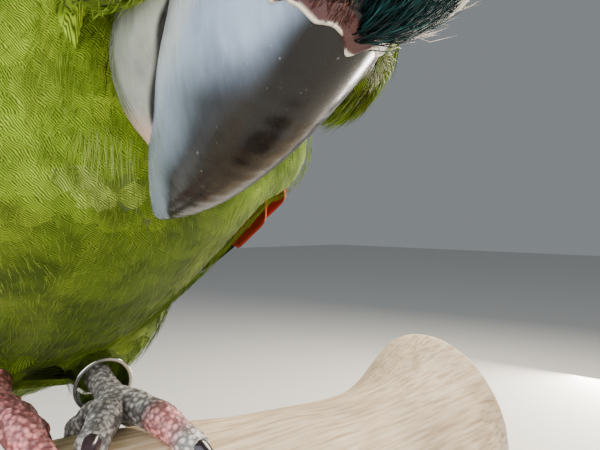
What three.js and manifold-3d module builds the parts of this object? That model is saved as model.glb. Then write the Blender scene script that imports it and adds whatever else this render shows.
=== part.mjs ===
// A chestnut-fronted macaw, life size, bowing its head on a cut length of branch.
// Millimetres, +Z up. The bird faces -Y and its own left side is +X. The origin is on the
// underside of the display base, ahead of its centre and straight below the bird's feet.

import * as THREE from "three";
import { mergeVertices } from "three/addons/utils/BufferGeometryUtils.js";
import Module from "manifold-3d";

const wasm = await Module();
wasm.setup();

const rad = THREE.MathUtils.degToRad;
const lerp = THREE.MathUtils.lerp;
const clamp = THREE.MathUtils.clamp;

// ---------- driving dimensions ----------

const gap = 0.3; // clearance that touching pieces keep
const perchTop = 132; // height of the top of the branch above the floor
const perchRadius = 27;
const perchForward = 3; // how far the branch's axis lies ahead of the bird's origin
const smoothReach = 32; // the wood is even this far to each side, where the bird stands
const perchLeftEnd = 108;
const perchRightEnd = 96;
const baseRadius = 86;
const baseThickness = 12;
const baseBack = 20; // the base's centre, behind the bird's origin
const rodRadius = 4.5;
const rodOffset = 62; // each rod's distance from the middle of the branch

const headOrigin = { left: 3, forward: 55, height: 60.5 }; // centre of the bill's base
const headBow = 104.5; // degrees from looking straight ahead, 90 looks at the floor
const headTurn = -4.4;
const headTilt = 11;

const culmenChord = 43;
const culmenHeight = 16; // top of the bill's base above the head's origin
const culmenSlope = { start: 37, end: 77 }; // degrees below the head's forward axis
const billHalfWidth = 10.2;
const lowerBillHalfWidth = 13.2;
const lidRadius = 5;
const lidWidth = 1.7; // half the width of the bare ring round the eye
const lidOut = 3.9; // the ring's plane, outside the eye's centre
const cheek = { forward: -10, out: 18.6, up: -10, long: 11, wide: 5.4, tall: 8.6 }; // fluffed feathers
const cheekRoot = { forward: -22, out: 8, up: -8, long: 11, wide: 9, tall: 11 }; // inside the head
const cereWidth = 1;
const nostrilRadius = 1.2;
const nostrilPlace = { forward: -2.6, out: 5.2, up: 13.2 };
const eyeRadius = 5.2;
const eyePlace = { forward: -17, up: 7.5, out: 14.2 };

const tailLength = 214;
const tailRoot = { forward: -108, height: -8 };
const tailSlope = 31; // degrees below the horizontal
const tailArch = 0.012; // the closed tail is a low roof, this much lower per square of the distance out
const tailCoreLength = 46;
const tailPairs = [tailLength, 194, 173, 151, 128, 104]; // from the middle pair out
const upperTailCoverts = [
  { left: 0, end: 66 },
  { left: 7.5, end: 56 },
  { left: -7.5, end: 56 },
];
const underTailCoverts = [
  { left: 0, end: 78 },
  { left: 7, end: 64 },
  { left: -7, end: 64 },
];
const wingClear = 0.6; // between the folded wing and the body
const vaneThickness = 0.55;
const vaneStep = 0.86; // from one feather's layer to the next

const tarsusRadius = 3.3;
const toeRadius = 3.5;
const ringInnerRadius = 5.9;
const ringWall = 0.9;
const ringHeight = 8.5;
const ringRest = 10; // how far up the leg from the foot the ring lies

// ---------- placing ----------

// A point from the bird's own measures: to its left, ahead, and above the branch's top.
function birdPoint(left, forward, height) {
  return new THREE.Vector3(left, -forward, perchTop + height);
}

// Rises gently from 0 to 1.
function smooth(share) {
  return THREE.MathUtils.smoothstep(share, 0, 1);
}

// ---------- solids ----------

// A closed surface from a sphere's grid, each point placed from its share round (0 to 1)
// and its share along (0 to 1); each end closes in a single point.
function shaped(around, along, place) {
  const geometry = new THREE.SphereGeometry(1, around, along);
  const { position, uv } = geometry.attributes;
  for (let i = 0; i < position.count; i++) {
    const v = 1 - uv.getY(i);
    const atPole = v < 1e-6 || v > 1 - 1e-6;
    const point = place(atPole ? 0 : uv.getX(i), v);
    position.setXYZ(i, point.x, point.y, point.z);
  }
  return solidOf(geometry);
}

// A thin curved slab: the same grid of triangles on both faces, joined round its rim.
function slab(rows, columns, place) {
  const points = [];
  for (const side of [1, 0]) {
    for (let i = 0; i <= rows; i++) {
      for (let j = 0; j <= columns; j++) points.push(place(i / rows, j / columns, side));
    }
  }
  const width = columns + 1;
  const half = (rows + 1) * width;
  const index = [];
  for (let i = 0; i < rows; i++) {
    for (let j = 0; j < columns; j++) {
      const a = i * width + j;
      const b = a + 1;
      const c = a + width;
      const d = c + 1;
      index.push(a, b, d, a, d, c);
      index.push(half + a, half + d, half + b, half + a, half + c, half + d);
    }
  }
  const rim = [];
  for (let j = 0; j < columns; j++) rim.push(j);
  for (let i = 0; i < rows; i++) rim.push(i * width + columns);
  for (let j = columns; j > 0; j--) rim.push(rows * width + j);
  for (let i = rows; i > 0; i--) rim.push(i * width);
  rim.forEach((a, k) => {
    const b = rim[(k + 1) % rim.length];
    index.push(a, half + b, b, a, half + a, half + b);
  });
  const geometry = new THREE.BufferGeometry().setFromPoints(points);
  geometry.setIndex(index);
  return solidOf(geometry);
}

// Turns a closed geometry into a solid, its faces pointing out.
function solidOf(geometry, matrix) {
  const bare = geometry.clone();
  if (matrix) bare.applyMatrix4(matrix);
  bare.deleteAttribute("normal");
  bare.deleteAttribute("uv");
  const merged = mergeVertices(bare, 1e-4);
  const triangles = [];
  const old = merged.index.array;
  for (let i = 0; i < old.length; i += 3) {
    const [a, b, c] = [old[i], old[i + 1], old[i + 2]];
    if (a !== b && b !== c && c !== a) triangles.push(a, b, c);
  }
  if (volumeOf(merged.attributes.position, triangles) < 0) triangles.reverse();
  const mesh = new wasm.Mesh({
    numProp: 3,
    vertProperties: Float32Array.from(merged.attributes.position.array),
    triVerts: Uint32Array.from(triangles),
  });
  return new wasm.Manifold(mesh);
}

function volumeOf(position, triangles) {
  const [a, b, c] = [new THREE.Vector3(), new THREE.Vector3(), new THREE.Vector3()];
  let volume = 0;
  for (let i = 0; i < triangles.length; i += 3) {
    a.fromBufferAttribute(position, triangles[i]);
    b.fromBufferAttribute(position, triangles[i + 1]);
    c.fromBufferAttribute(position, triangles[i + 2]);
    volume += a.dot(b.cross(c)) / 6;
  }
  return volume;
}

// Keeps the largest closed surface of a solid, which drops scraps and fills sealed hollows.
function largest(solid) {
  const pieces = solid.decompose();
  return pieces.reduce((best, piece) => (piece.volume() > best.volume() ? piece : best));
}

function joined(solids) {
  return solids.reduce((sum, next) => sum.add(next));
}

const bird = new THREE.Group();

function addNode(name, solid, colour, roughness, metalness = 0) {
  const { numProp, vertProperties, triVerts } = largest(solid).getMesh();
  const position = new Float32Array((vertProperties.length / numProp) * 3);
  for (let i = 0; i * numProp < vertProperties.length; i++) {
    for (let k = 0; k < 3; k++) position[i * 3 + k] = vertProperties[i * numProp + k];
  }
  const geometry = new THREE.BufferGeometry();
  geometry.setAttribute("position", new THREE.BufferAttribute(position, 3));
  geometry.setIndex(new THREE.BufferAttribute(Uint32Array.from(triVerts), 1));
  geometry.computeVertexNormals();
  const material = new THREE.MeshStandardMaterial({ color: colour, roughness, metalness });
  const mesh = new THREE.Mesh(geometry, material);
  mesh.name = name;
  bird.add(mesh);
}

// A smooth line through rows of numbers, read at any share of its length.
function profile(rows, keys) {
  const curve = new THREE.CatmullRomCurve3(
    rows.map((row) => new THREE.Vector3(...keys.map((key) => row[key]))),
    false,
    "catmullrom",
    0.5,
  );
  return (share) => curve.getPoint(clamp(share, 0, 1));
}

// ---------- body ----------

// Sections of the body from the vent to the inside of the head, each an oval between a point
// on the belly and one on the back, both in the middle plane, and as wide as side each way.
const bodySections = [
  { belly: [-129, -23], back: [-129, -23], side: 0 },
  { belly: [-114, -24], back: [-123, -7], side: 13 },
  { belly: [-88, -17], back: [-108, 13], side: 24 },
  { belly: [-62, -8], back: [-90, 35], side: 32 },
  { belly: [-35, 4], back: [-67, 56], side: 36.5 },
  { belly: [-8, 17], back: [-40, 73.5], side: 38.5 },
  { belly: [13, 31], back: [-16, 85], side: 41.5 },
  { belly: [23, 43], back: [2, 93], side: 45 },
  { belly: [26, 54.5], back: [16, 100], side: 40 },
  { belly: [27.5, 63], back: [31, 105], side: 29 },
  { belly: [30, 68], back: [47, 106], side: 21.5 },
  { belly: [38, 76], back: [58, 101], side: 16 },
  { belly: [57, 84], back: [57, 84], side: 0 },
];
const neckShare = 0.625; // where the neck is parted from the torso

const bellyLine = profile(bodySections.map(({ belly }) => ({ forward: belly[0], height: belly[1] })), [
  "forward",
  "height",
]);
const backLine = profile(bodySections.map(({ back }) => ({ forward: back[0], height: back[1] })), [
  "forward",
  "height",
]);
const bodySide = profile(bodySections, ["side"]);

// The middle of a section, half its height, and the direction from the belly to the back.
function bodySection(share) {
  const belly = bellyLine(share);
  const back = backLine(share);
  const middle = belly.clone().add(back).multiplyScalar(0.5);
  const rise = back.clone().sub(belly);
  const reach = rise.length() / 2;
  if (reach < 1e-6) rise.set(0, 1, 0);
  rise.normalize();
  return {
    centre: birdPoint(0, middle.x, middle.y),
    away: new THREE.Vector3(0, -rise.x, rise.y),
    reach,
  };
}

// A point on the body's skin, raised by grow; turn 0 is the left flank, 90 degrees the back.
function bodyPoint(share, turn, grow) {
  const { centre, away, reach } = bodySection(share);
  const edge = clamp(Math.min(share, 1 - share) / 0.02, 0, 1);
  centre.y += (share < 0.5 ? 1 : -1) * (1 - edge) * grow;
  return centre
    .addScaledVector(away, Math.sin(turn) * (reach + grow * edge))
    .add(new THREE.Vector3(Math.cos(turn) * (bodySide(share).x + grow * edge), 0, 0));
}

function body(grow, around = 24, along = 26) {
  return shaped(around, along, (u, v) => bodyPoint(v, u * Math.PI * 2, grow));
}

// A large thin sheet across the body, to part it.
function bodyCut(share) {
  const { centre, away } = bodySection(share);
  const across = new THREE.Vector3(1, 0, 0);
  const matrix = new THREE.Matrix4().makeBasis(across, away, across.clone().cross(away));
  matrix.setPosition(centre);
  return solidOf(new THREE.BoxGeometry(160, 160, gap), matrix);
}

// ---------- head ----------

const headMatrix = new THREE.Matrix4().makeRotationFromEuler(
  new THREE.Euler(rad(headBow), rad(headTilt), rad(headTurn), "YZX"),
);
headMatrix.setPosition(birdPoint(headOrigin.left, headOrigin.forward, headOrigin.height));

// A point from the head's own measures: ahead of the bill's base, to its left and up.
function headPoint(forward, left, up) {
  return new THREE.Vector3(left, -forward, up).applyMatrix4(headMatrix);
}

const headSections = [
  { forward: -43, top: 2, bottom: 2, side: 0 },
  { forward: -38.5, top: 13, bottom: -10, side: 12.5 },
  { forward: -30, top: 19.5, bottom: -17, side: 17.6 },
  { forward: -20, top: 22, bottom: -19.5, side: 19.6 },
  { forward: -11, top: 20.6, bottom: -22.5, side: 18 },
  { forward: -6, top: 18.3, bottom: -22.5, side: 15 },
  { forward: -3.4, top: 15.6, bottom: -19.5, side: 11.8 },
  { forward: -2.4, top: 0, bottom: 0, side: 0 },
];
const headLean = 0.2; // the forehead comes this much further forward than the chin
const browPeak = 4.5; // the brow's point runs this far down the culmen, ahead of the sides
const browPeakWidth = 5.5;
const cheekPuff = 0.42; // the fluffed cheek feathers stand out beside the chin
const headLength = profile(headSections, ["forward", "top", "bottom"]);
const headSide = profile(headSections, ["side", "side", "side"]);

function head(grow, around = 24, along = 18) {
  return shaped(around, along, (u, v) => {
    const { x: forward, y: top, z: bottom } = headLength(v);
    const turn = u * Math.PI * 2;
    const edge = clamp(Math.min(v, 1 - v) / 0.04, 0, 1);
    const middle = (top + bottom) / 2;
    const rise = squared(Math.sin(turn), 0.92) * ((top - bottom) / 2 + grow * edge);
    const front = clamp((forward + 22) / 20, 0, 1);
    const puff = 1 + cheekPuff * front * Math.exp(-(((middle + rise + 13) / 8) ** 2));
    const out = squared(Math.cos(turn), 0.92) * (headSide(v).x * puff + grow * edge);
    const lean = headLean * front * (middle + rise - 2);
    const brow = clamp((middle + rise + 12) / 12, 0, 1);
    const peak = browPeak * brow * front * (1 - Math.exp(-((out / browPeakWidth) ** 2)));
    const ends = (v < 0.5 ? -1 : 1) * grow * (1 - edge);
    return headPoint(forward + lean - peak + ends, out, middle + rise);
  });
}

// The fluffed feathers of a cheek bulge beside the lower bill and run back into the head.
function cheekEgg(egg, side, grow) {
  return shaped(14, 9, (u, v) => {
    const turn = u * Math.PI * 2;
    const ring = Math.sin(v * Math.PI);
    return headPoint(
      egg.forward - Math.cos(v * Math.PI) * (egg.long + grow),
      side * (egg.out + Math.cos(turn) * ring * (egg.wide + grow)),
      egg.up + Math.sin(turn) * ring * (egg.tall + grow),
    );
  });
}

function cheekPad(side, grow) {
  return cheekEgg(cheek, side, grow).add(cheekEgg(cheekRoot, side, grow)).hull();
}

// The grown head, carried on ahead for a distance, for cutting what meets the feathers' front.
function headAhead(distance) {
  const ahead = headPoint(distance, 0, 0).sub(headPoint(0, 0, 0));
  const grown = head(gap);
  return grown.add(grown.translate([ahead.x, ahead.y, ahead.z]));
}

// Bulges a sine or cosine, so that a round section becomes slightly boxy.
function squared(value, power) {
  return Math.sign(value) * Math.abs(value) ** power;
}

// ---------- bill ----------

// The culmen is an arc whose slope grows evenly; it starts a little inside the head.
function culmenPoint(share) {
  const turn = culmenSlope.end - culmenSlope.start;
  const radius = culmenChord / (2 * Math.sin(rad(turn / 2)));
  const slope = rad(lerp(culmenSlope.start, culmenSlope.end, share));
  const first = rad(culmenSlope.start);
  return {
    forward: radius * (Math.sin(slope) - Math.sin(first)),
    up: culmenHeight + radius * (Math.cos(slope) - Math.cos(first)),
  };
}

// The cutting edge of the upper bill, from the gape to the tip, with a step before the hook.
const gape = { forward: -9, up: -6.5 };
const edgeBend = { forward: 1, up: -11 };
const edgeNotch = { depth: 1.6, place: 0.6, spread: 0.09 };

function edgePoint(share) {
  const tip = culmenPoint(1);
  const s = clamp(share, 0, 1);
  const mix = (a, b, c) => (1 - s) ** 2 * a + 2 * s * (1 - s) * b + s ** 2 * c;
  const step = edgeNotch.depth * Math.exp(-(((s - edgeNotch.place) / edgeNotch.spread) ** 2));
  return {
    forward: mix(gape.forward, edgeBend.forward, tip.forward),
    up: mix(gape.up, edgeBend.up, tip.up) + step,
  };
}

function upperBillWidth(share) {
  const s = clamp(share, 0, 1);
  return billHalfWidth * (1 - s ** 2.3) ** 0.75 * (1 - 0.1 * s);
}

// Sections fan round the cutting edge: share 0 is the base and 1 the tip. Turn 0 is the
// right edge, 0.5 the ridge and 1 the left edge, and the last part closes the underside.
function upperBill(grow, from = -0.12) {
  const roofPart = 0.78;
  return shaped(26, 16, (u, v) => {
    const share = lerp(from, 1, v);
    const ridge = culmenPoint(share);
    const edge = edgePoint(share);
    const swell = clamp((v < 0.5 ? v : 1 - v) / 0.03, 0, 1);
    const roof = u <= roofPart;
    const sweep = roof ? u / roofPart : 1 - (u - roofPart) / (1 - roofPart);
    const angle = lerp(-Math.PI / 2, Math.PI / 2, sweep);
    const side = upperBillWidth(share) + grow;
    const across = side * (roof ? squared(Math.sin(angle), 0.95) : lerp(-1, 1, sweep));
    const drop = roof ? 1 - Math.cos(angle) : 1;
    const tall = Math.hypot(ridge.forward - edge.forward, ridge.up - edge.up) || 1;
    const outward = { forward: (ridge.forward - edge.forward) / tall, up: (ridge.up - edge.up) / tall };
    const reach = tall / 2;
    const lift = lerp(reach + grow, -reach - grow, drop) * swell;
    const centre = { forward: (ridge.forward + edge.forward) / 2, up: (ridge.up + edge.up) / 2 };
    return headPoint(
      centre.forward + outward.forward * lift,
      across * swell,
      centre.up + outward.up * lift,
    );
  });
}

// The nostrils open in the bare band at the bill's base, just under the brow feathers.
function nostril(side) {
  const hole = new THREE.CylinderGeometry(nostrilRadius, nostrilRadius, 3.6, 8);
  const { forward, out, up } = nostrilPlace;
  const place = new THREE.Matrix4().makeTranslation(side * out, -forward, up);
  return solidOf(hole, headMatrix.clone().multiply(place));
}

const lowerSections = [
  { forward: -12, top: -10, bottom: -14, side: 0.23 },
  { forward: -9, top: -5, bottom: -24, side: 0.92 },
  { forward: -3, top: -5, bottom: -27.4, side: 1 },
  { forward: 3, top: -8, bottom: -27, side: 0.95 },
  { forward: 9, top: -10, bottom: -23, side: 0.73 },
  { forward: 12.6, top: -12, bottom: -18, side: 0.45 },
  { forward: 13.6, top: -13.6, bottom: -15.5, side: 0.33 },
];
const lowerLength = profile(lowerSections, ["forward", "top", "bottom"]);
const lowerSide = profile(lowerSections, ["side", "side", "side"]);

function lowerBill(grow) {
  return shaped(18, 14, (u, v) => {
    const { x: forward, y: top, z: bottom } = lowerLength(v);
    const turn = u * Math.PI * 2;
    const swell = clamp(Math.min(v, 1 - v) / 0.05, 0, 1);
    const rise = squared(Math.sin(turn), 0.8) * ((top - bottom) / 2 + grow) * swell;
    const out = squared(Math.cos(turn), 0.8) * (lowerSide(v).x * lowerBillHalfWidth + grow) * swell;
    return headPoint(forward, out, (top + bottom) / 2 + rise);
  });
}

// ---------- eyes and lids ----------

function eyeCentre(side) {
  return headPoint(eyePlace.forward, side * eyePlace.out, eyePlace.up);
}

function eye(side, grow) {
  const place = new THREE.Matrix4().setPosition(eyeCentre(side));
  return solidOf(new THREE.SphereGeometry(eyeRadius + grow, 14, 8), place);
}

// The lids are a ring of bare skin that stands a little proud round the eye.
function lidRing(side) {
  const outline = new THREE.Path();
  outline.absellipse(lidRadius, 0, lidWidth, 1.5, 0, Math.PI * 2);
  const ring = new THREE.LatheGeometry(outline.getPoints(3), 14);
  const turn = new THREE.Matrix4().makeRotationZ((-side * Math.PI) / 2);
  const { forward, up, out } = eyePlace;
  const place = new THREE.Matrix4().makeTranslation(side * (out + lidOut), -forward, up);
  return solidOf(ring, headMatrix.clone().multiply(place).multiply(turn));
}

// ---------- branch and stand ----------

const perchAxisHeight = -perchRadius;

// The branch's middle line, seen from above: it bows forward on the bird's left.
const perchBow = [
  { left: -perchRightEnd, forward: -5, height: 2 },
  { left: -45, forward: 0, height: 0 },
  { left: 0, forward: perchForward, height: 0 },
  { left: 40, forward: 11, height: -3 },
  { left: 74, forward: 14, height: -2.5 },
  { left: perchLeftEnd, forward: 4, height: 5 },
];
const perchLine = profile(perchBow, ["left", "forward", "height"]);

function perchMiddle(left) {
  let [low, high] = [0, 1];
  for (let i = 0; i < 30; i++) {
    const share = (low + high) / 2;
    if (perchLine(share).x < left) low = share;
    else high = share;
  }
  const { y: forward, z: height } = perchLine(low);
  return { forward, height: height + perchAxisHeight };
}

function perch(grow) {
  const knots = [
    { left: 66, turn: 1.9, size: 4.5, spread: 13 },
    { left: -52, turn: -0.4, size: 3.5, spread: 11 },
  ];
  return shaped(20, 20, (u, v) => {
    const capShare = 0.06;
    const inside = clamp((v - capShare) / (1 - 2 * capShare), 0, 1);
    const left = lerp(-perchRightEnd, perchLeftEnd, inside);
    const turn = u * Math.PI * 2;
    const cap = clamp(Math.min(v, 1 - v) / capShare, 0, 1);
    const standing = clamp((Math.abs(left) - smoothReach) / 20, 0, 1);
    const bumps = 0.9 * Math.sin(left / 17 + turn) + 0.7 * Math.sin(2 * turn - left / 31);
    let radius = perchRadius + standing * bumps;
    for (const knot of knots) {
      const away = Math.hypot((left - knot.left) / knot.spread, Math.sin((turn - knot.turn) / 2) * 3.6);
      radius += knot.size * Math.exp(-(away ** 2));
    }
    const middle = perchMiddle(left);
    const reach = (radius + grow) * cap;
    return birdPoint(left, middle.forward + Math.sin(turn) * reach, middle.height + Math.cos(turn) * reach);
  });
}

function standBase() {
  const outline = new THREE.Path();
  const bevel = 1.5;
  outline.moveTo(0, 0);
  outline.lineTo(baseRadius - bevel, 0);
  outline.lineTo(baseRadius, bevel);
  outline.lineTo(baseRadius, baseThickness - bevel * 1.5);
  outline.lineTo(baseRadius - bevel * 1.5, baseThickness);
  outline.lineTo(0, baseThickness);
  const turn = new THREE.Matrix4().makeRotationX(Math.PI / 2);
  turn.premultiply(new THREE.Matrix4().makeTranslation(0, baseBack, 0));
  return solidOf(new THREE.LatheGeometry(outline.getPoints(), 40), turn);
}

function rod(left) {
  const bottom = baseThickness + gap;
  const top = perchTop - perchRadius;
  const shape = new THREE.CylinderGeometry(rodRadius, rodRadius, top - bottom, 16);
  const place = new THREE.Vector3(left, -perchMiddle(left).forward, (top + bottom) / 2);
  const matrix = new THREE.Matrix4().makeRotationX(Math.PI / 2).setPosition(place);
  return solidOf(shape, matrix);
}

// ---------- feet ----------

// Toes run over the branch: each has its bearing from straight ahead, outward positive.
const toes = [
  { name: "inner_front", bearing: -24, length: 19, claw: 11 },
  { name: "outer_front", bearing: 22, length: 25, claw: 12 },
  { name: "outer_back", bearing: 150, length: 25, claw: 12 },
  { name: "inner_back", bearing: -151, length: 14, claw: 9 },
];
const feet = [
  { name: "left", side: 1, left: 8, forward: -6, turn: -8, arch: 0.8 },
  { name: "right", side: -1, left: -15, forward: -6.5, turn: -10, arch: 3.4 },
];

// A point at a distance along a toe and a height above the wood. It follows the branch round.
function onBranch(foot, bearing, distance, height) {
  const reach = perchRadius + height;
  const heading = rad(foot.side * bearing + foot.turn);
  const left = foot.left + distance * Math.sin(heading);
  const middle = perchMiddle(left);
  const start = Math.asin((foot.forward - middle.forward) / reach);
  const angle = start + (distance * Math.cos(heading)) / (perchRadius + toeRadius);
  return birdPoint(
    left,
    middle.forward + reach * Math.sin(angle),
    middle.height + reach * Math.cos(angle),
  );
}

// A tapering limb along a list of centres with radii.
function limb(stations, around, along, grow) {
  const line = new THREE.CatmullRomCurve3(stations.map((s) => s.at));
  const size = new THREE.CatmullRomCurve3(stations.map((s) => new THREE.Vector3(s.radius, 0, 0)));
  const side = new THREE.Vector3(1, 0, 0);
  return shaped(around, along, (u, v) => {
    const angle = v * Math.PI;
    const capShare = 0.1;
    const inside = clamp((v - capShare) / (1 - 2 * capShare), 0, 1);
    const ahead = line.getTangent(inside);
    const other = new THREE.Vector3().crossVectors(ahead, side).normalize();
    const across = new THREE.Vector3().crossVectors(other, ahead).normalize();
    const reach = size.getPoint(inside).x + grow;
    const cap = v < capShare ? v / capShare : v > 1 - capShare ? (1 - v) / capShare : 1;
    const ring = Math.sqrt(1 - (1 - cap) ** 2) * reach;
    const over = Math.sign(angle - Math.PI / 2) * (1 - cap) * reach;
    const turn = u * Math.PI * 2;
    return line.getPoint(inside)
      .addScaledVector(ahead, over)
      .addScaledVector(across, Math.cos(turn) * ring)
      .addScaledVector(other, Math.sin(turn) * ring);
  });
}

function toe(foot, { bearing, length }, grow) {
  const stations = [];
  const joints = 5;
  for (let i = 0; i <= joints; i++) {
    const share = i / joints;
    const radius = toeRadius * (1 - 0.2 * share) + (i % 2 ? 0.25 : 0);
    const raised = foot.arch * Math.cos((share * Math.PI) / 2);
    stations.push({ at: onBranch(foot, bearing, share * length, radius + gap + raised), radius });
  }
  return limb(stations, 8, 8, grow);
}

function claw(foot, { bearing, length, claw: clawLength }) {
  const rise = [3.2, 4.6, 4.4, 2.9, 0.9];
  const stations = rise.map((height, i) => {
    const share = i / (rise.length - 1);
    const radius = lerp(2.3, 0.35, share ** 0.8);
    const distance = length - 1.5 + clawLength * share;
    return { at: onBranch(foot, bearing, distance, Math.max(height, radius + gap)), radius };
  });
  return limb(stations, 6, 5, 0);
}

function footSolid(foot, grow) {
  const parts = toes.map((each) => toe(foot, each, grow));
  const ankle = [
    { at: onBranch(foot, 0, -4, toeRadius + foot.arch + 0.8), radius: toeRadius + 0.6 },
    { at: onBranch(foot, 0, 3, toeRadius + foot.arch + 0.6), radius: toeRadius + 0.4 },
  ];
  parts.push(limb(ankle, 8, 5, grow));
  return joined(parts);
}

// ---------- legs ----------

function legPoints(foot) {
  const ball = onBranch(foot, 0, -1, toeRadius + foot.arch + 0.6);
  const ankle = birdPoint(foot.left - foot.side * 1 + 2, foot.forward - 21, foot.arch + 5);
  return { ball, ankle };
}

function tarsus(foot, grow) {
  const { ball, ankle } = legPoints(foot);
  const above = ankle.clone().add(ankle.clone().sub(ball).multiplyScalar(0.4));
  const stations = [
    { at: ball, radius: tarsusRadius + 0.5 },
    { at: ball.clone().lerp(ankle, 0.5), radius: tarsusRadius },
    { at: ankle, radius: tarsusRadius + 0.6 },
    { at: above, radius: tarsusRadius + 0.4 },
  ];
  return limb(stations, 10, 7, grow);
}

// The feathered thigh swells out of the flank and hides the ankle.
function thigh(foot, grow) {
  const { ankle } = legPoints(foot);
  const hip = birdPoint(foot.side * 20, -44, 24);
  const stations = [
    { at: hip, radius: 18 },
    { at: hip.clone().lerp(ankle, 0.5), radius: 14.5 },
    { at: hip.clone().lerp(ankle, 0.85), radius: 10 },
    { at: ankle, radius: 7 },
  ];
  return limb(stations, 14, 10, grow);
}

// The ring lies loose on the foot. Given an inner radius of 0 it is the room that it takes up.
function legRing(foot, inner, grow) {
  const { ball, ankle } = legPoints(foot);
  const outer = ringInnerRadius + ringWall + grow;
  const outline = new THREE.Path();
  outline.moveTo(inner, -grow);
  outline.lineTo(outer, -grow);
  outline.lineTo(outer, ringHeight + grow);
  outline.lineTo(inner, ringHeight + grow);
  if (inner > 0) outline.lineTo(inner, -grow);
  const ring = new THREE.LatheGeometry(outline.getPoints(), 20);
  const along = ankle.clone().sub(ball).normalize();
  const turn = new THREE.Quaternion().setFromUnitVectors(new THREE.Vector3(0, 1, 0), along);
  const place = ball.clone().addScaledVector(along, ringRest);
  return solidOf(ring, new THREE.Matrix4().compose(place, turn, new THREE.Vector3(1, 1, 1)));
}

// ---------- wings and tail ----------

// The mantle is the body's surface carried on past the rump, for the folded wings to follow.
const mantleSections = [
  { forward: 14, height: 67, above: 29, side: 44.5 },
  { forward: -7, height: 53, above: 34.5, side: 42.5 },
  { forward: -34, height: 36.5, above: 36.5, side: 39.5 },
  { forward: -62, height: 20, above: 33, side: 36 },
  { forward: -90, height: 3, above: 26, side: 29.5 },
  { forward: -118, height: -15, above: 20, side: 24 },
  { forward: -146, height: -34, above: 15.5, side: 20 },
  { forward: -174, height: -53, above: 12.5, side: 17.5 },
  { forward: -202, height: -71, above: 11, side: 16 },
];
const mantleLine = profile(
  mantleSections.map(({ forward, height }) => ({ left: 0, forward, height })),
  ["left", "forward", "height"],
);
const mantleReach = profile(mantleSections, ["above", "side", "side"]);

function mantlePoint(side, share, turn, lift) {
  const centre = mantleLine(share);
  const reach = mantleReach(share);
  const ahead = mantleLine(share + 0.02).sub(mantleLine(share - 0.02));
  const along = new THREE.Vector3(0, -ahead.y, ahead.z).normalize();
  const away = new THREE.Vector3(0, -along.z, along.y);
  return birdPoint(centre.x, centre.y, centre.z)
    .addScaledVector(away, Math.sin(turn) * (reach.x + lift))
    .add(new THREE.Vector3(side * Math.cos(turn) * (reach.y + lift), 0, 0));
}

// The lower and upper edges of the folded wing, as turns about the mantle's line.
const wingEdges = profile(
  [
    { low: -35, high: 22 },
    { low: -29, high: 58 },
    { low: -18, high: 70 },
    { low: -9, high: 78 },
    { low: 0, high: 82 },
    { low: 10, high: 83 },
    { low: 20, high: 84 },
    { low: 34, high: 80 },
    { low: 52, high: 66 },
  ],
  ["low", "high", "high"],
);

// The wing's core carries the roots of its feathers. It ends under the tips of the secondaries.
const coreEnd = 0.6;
const coreLift = profile(
  [
    { lift: 3, edge: 2.2 },
    { lift: 5.2, edge: 2.4 },
    { lift: 5.2, edge: 2.4 },
    { lift: 4.8, edge: 2.2 },
    { lift: 4.3, edge: 1.8 },
    { lift: 3.7, edge: 1.6 },
  ],
  ["lift", "edge", "edge"],
);

function wingCore(side) {
  return slab(8, 5, (i, j, face) => {
    const share = coreEnd * i;
    const { x: low, y: high } = wingEdges(share);
    const { x: full, y: edge } = coreLift(i);
    const lift = lerp(edge, full, Math.sin(Math.PI * j) ** 0.6);
    const turn = rad(lerp(low, high, side > 0 ? j : 1 - j));
    return mantlePoint(side, share, turn, wingClear + face * lift);
  });
}

// Rows of wing feathers. Each pair of numbers is for the lowest feather and the highest one.
// Shares and turns (degrees) are the mantle's; lift is clear of the mantle, in mm, and tilt
// raises a feather's lower edge over the next feather down.
const wingRows = [
  {
    name: "primaries",
    tips: [0.93, 1, 0.965, 0.9, 0.83],
    root: { share: [0.55, 0.565], turn: [12, 38] },
    tip: { turn: [48, 64] },
    halfWidth: [6, 6.5],
    lift: [0.6, 0.6 + 4 * vaneStep],
    sunk: [0.6, 0.6 + 4 * vaneStep],
    tilt: 0,
    rows: 4,
  },
  {
    name: "secondaries",
    tips: [0.72, 0.71, 0.69, 0.665, 0.63, 0.59],
    root: { share: [0.3, 0.16], turn: [-4, 60] },
    tip: { turn: [18, 76] },
    halfWidth: [6.4, 6.2],
    lift: [4.9, 4.9],
    sunk: [3.2, 3.2],
    tilt: 1.6,
    rows: 4,
  },
  {
    name: "greater coverts",
    tips: [0.47, 0.465, 0.45, 0.435, 0.41, 0.38],
    root: { share: [0.22, 0.08], turn: [-5, 54] },
    tip: { turn: [7, 68] },
    halfWidth: [6.6, 6.4],
    lift: [6.6, 6.6],
    sunk: [3.4, 3.4],
    tilt: 1.1,
    rows: 3,
  },
  {
    name: "median coverts",
    tips: [0.27, 0.265, 0.255, 0.24, 0.215],
    root: { share: [0.1, 0.03], turn: [-15, 36] },
    tip: { turn: [-6, 58] },
    halfWidth: [6.6, 6.6],
    lift: [7.2, 7.2],
    sunk: [2.6, 2.6],
    tilt: 0.7,
    rows: 3,
  },
];

// A vane's outline: how far along each row lies, and its share of the full width there.
const vaneOutlines = {
  4: [
    { along: 0, width: 0.5 },
    { along: 0.3, width: 0.95 },
    { along: 0.64, width: 1 },
    { along: 0.89, width: 0.74 },
    { along: 1, width: 0.14 },
  ],
  3: [
    { along: 0, width: 0.6 },
    { along: 0.45, width: 1 },
    { along: 0.82, width: 0.82 },
    { along: 1, width: 0.16 },
  ],
};

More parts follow.
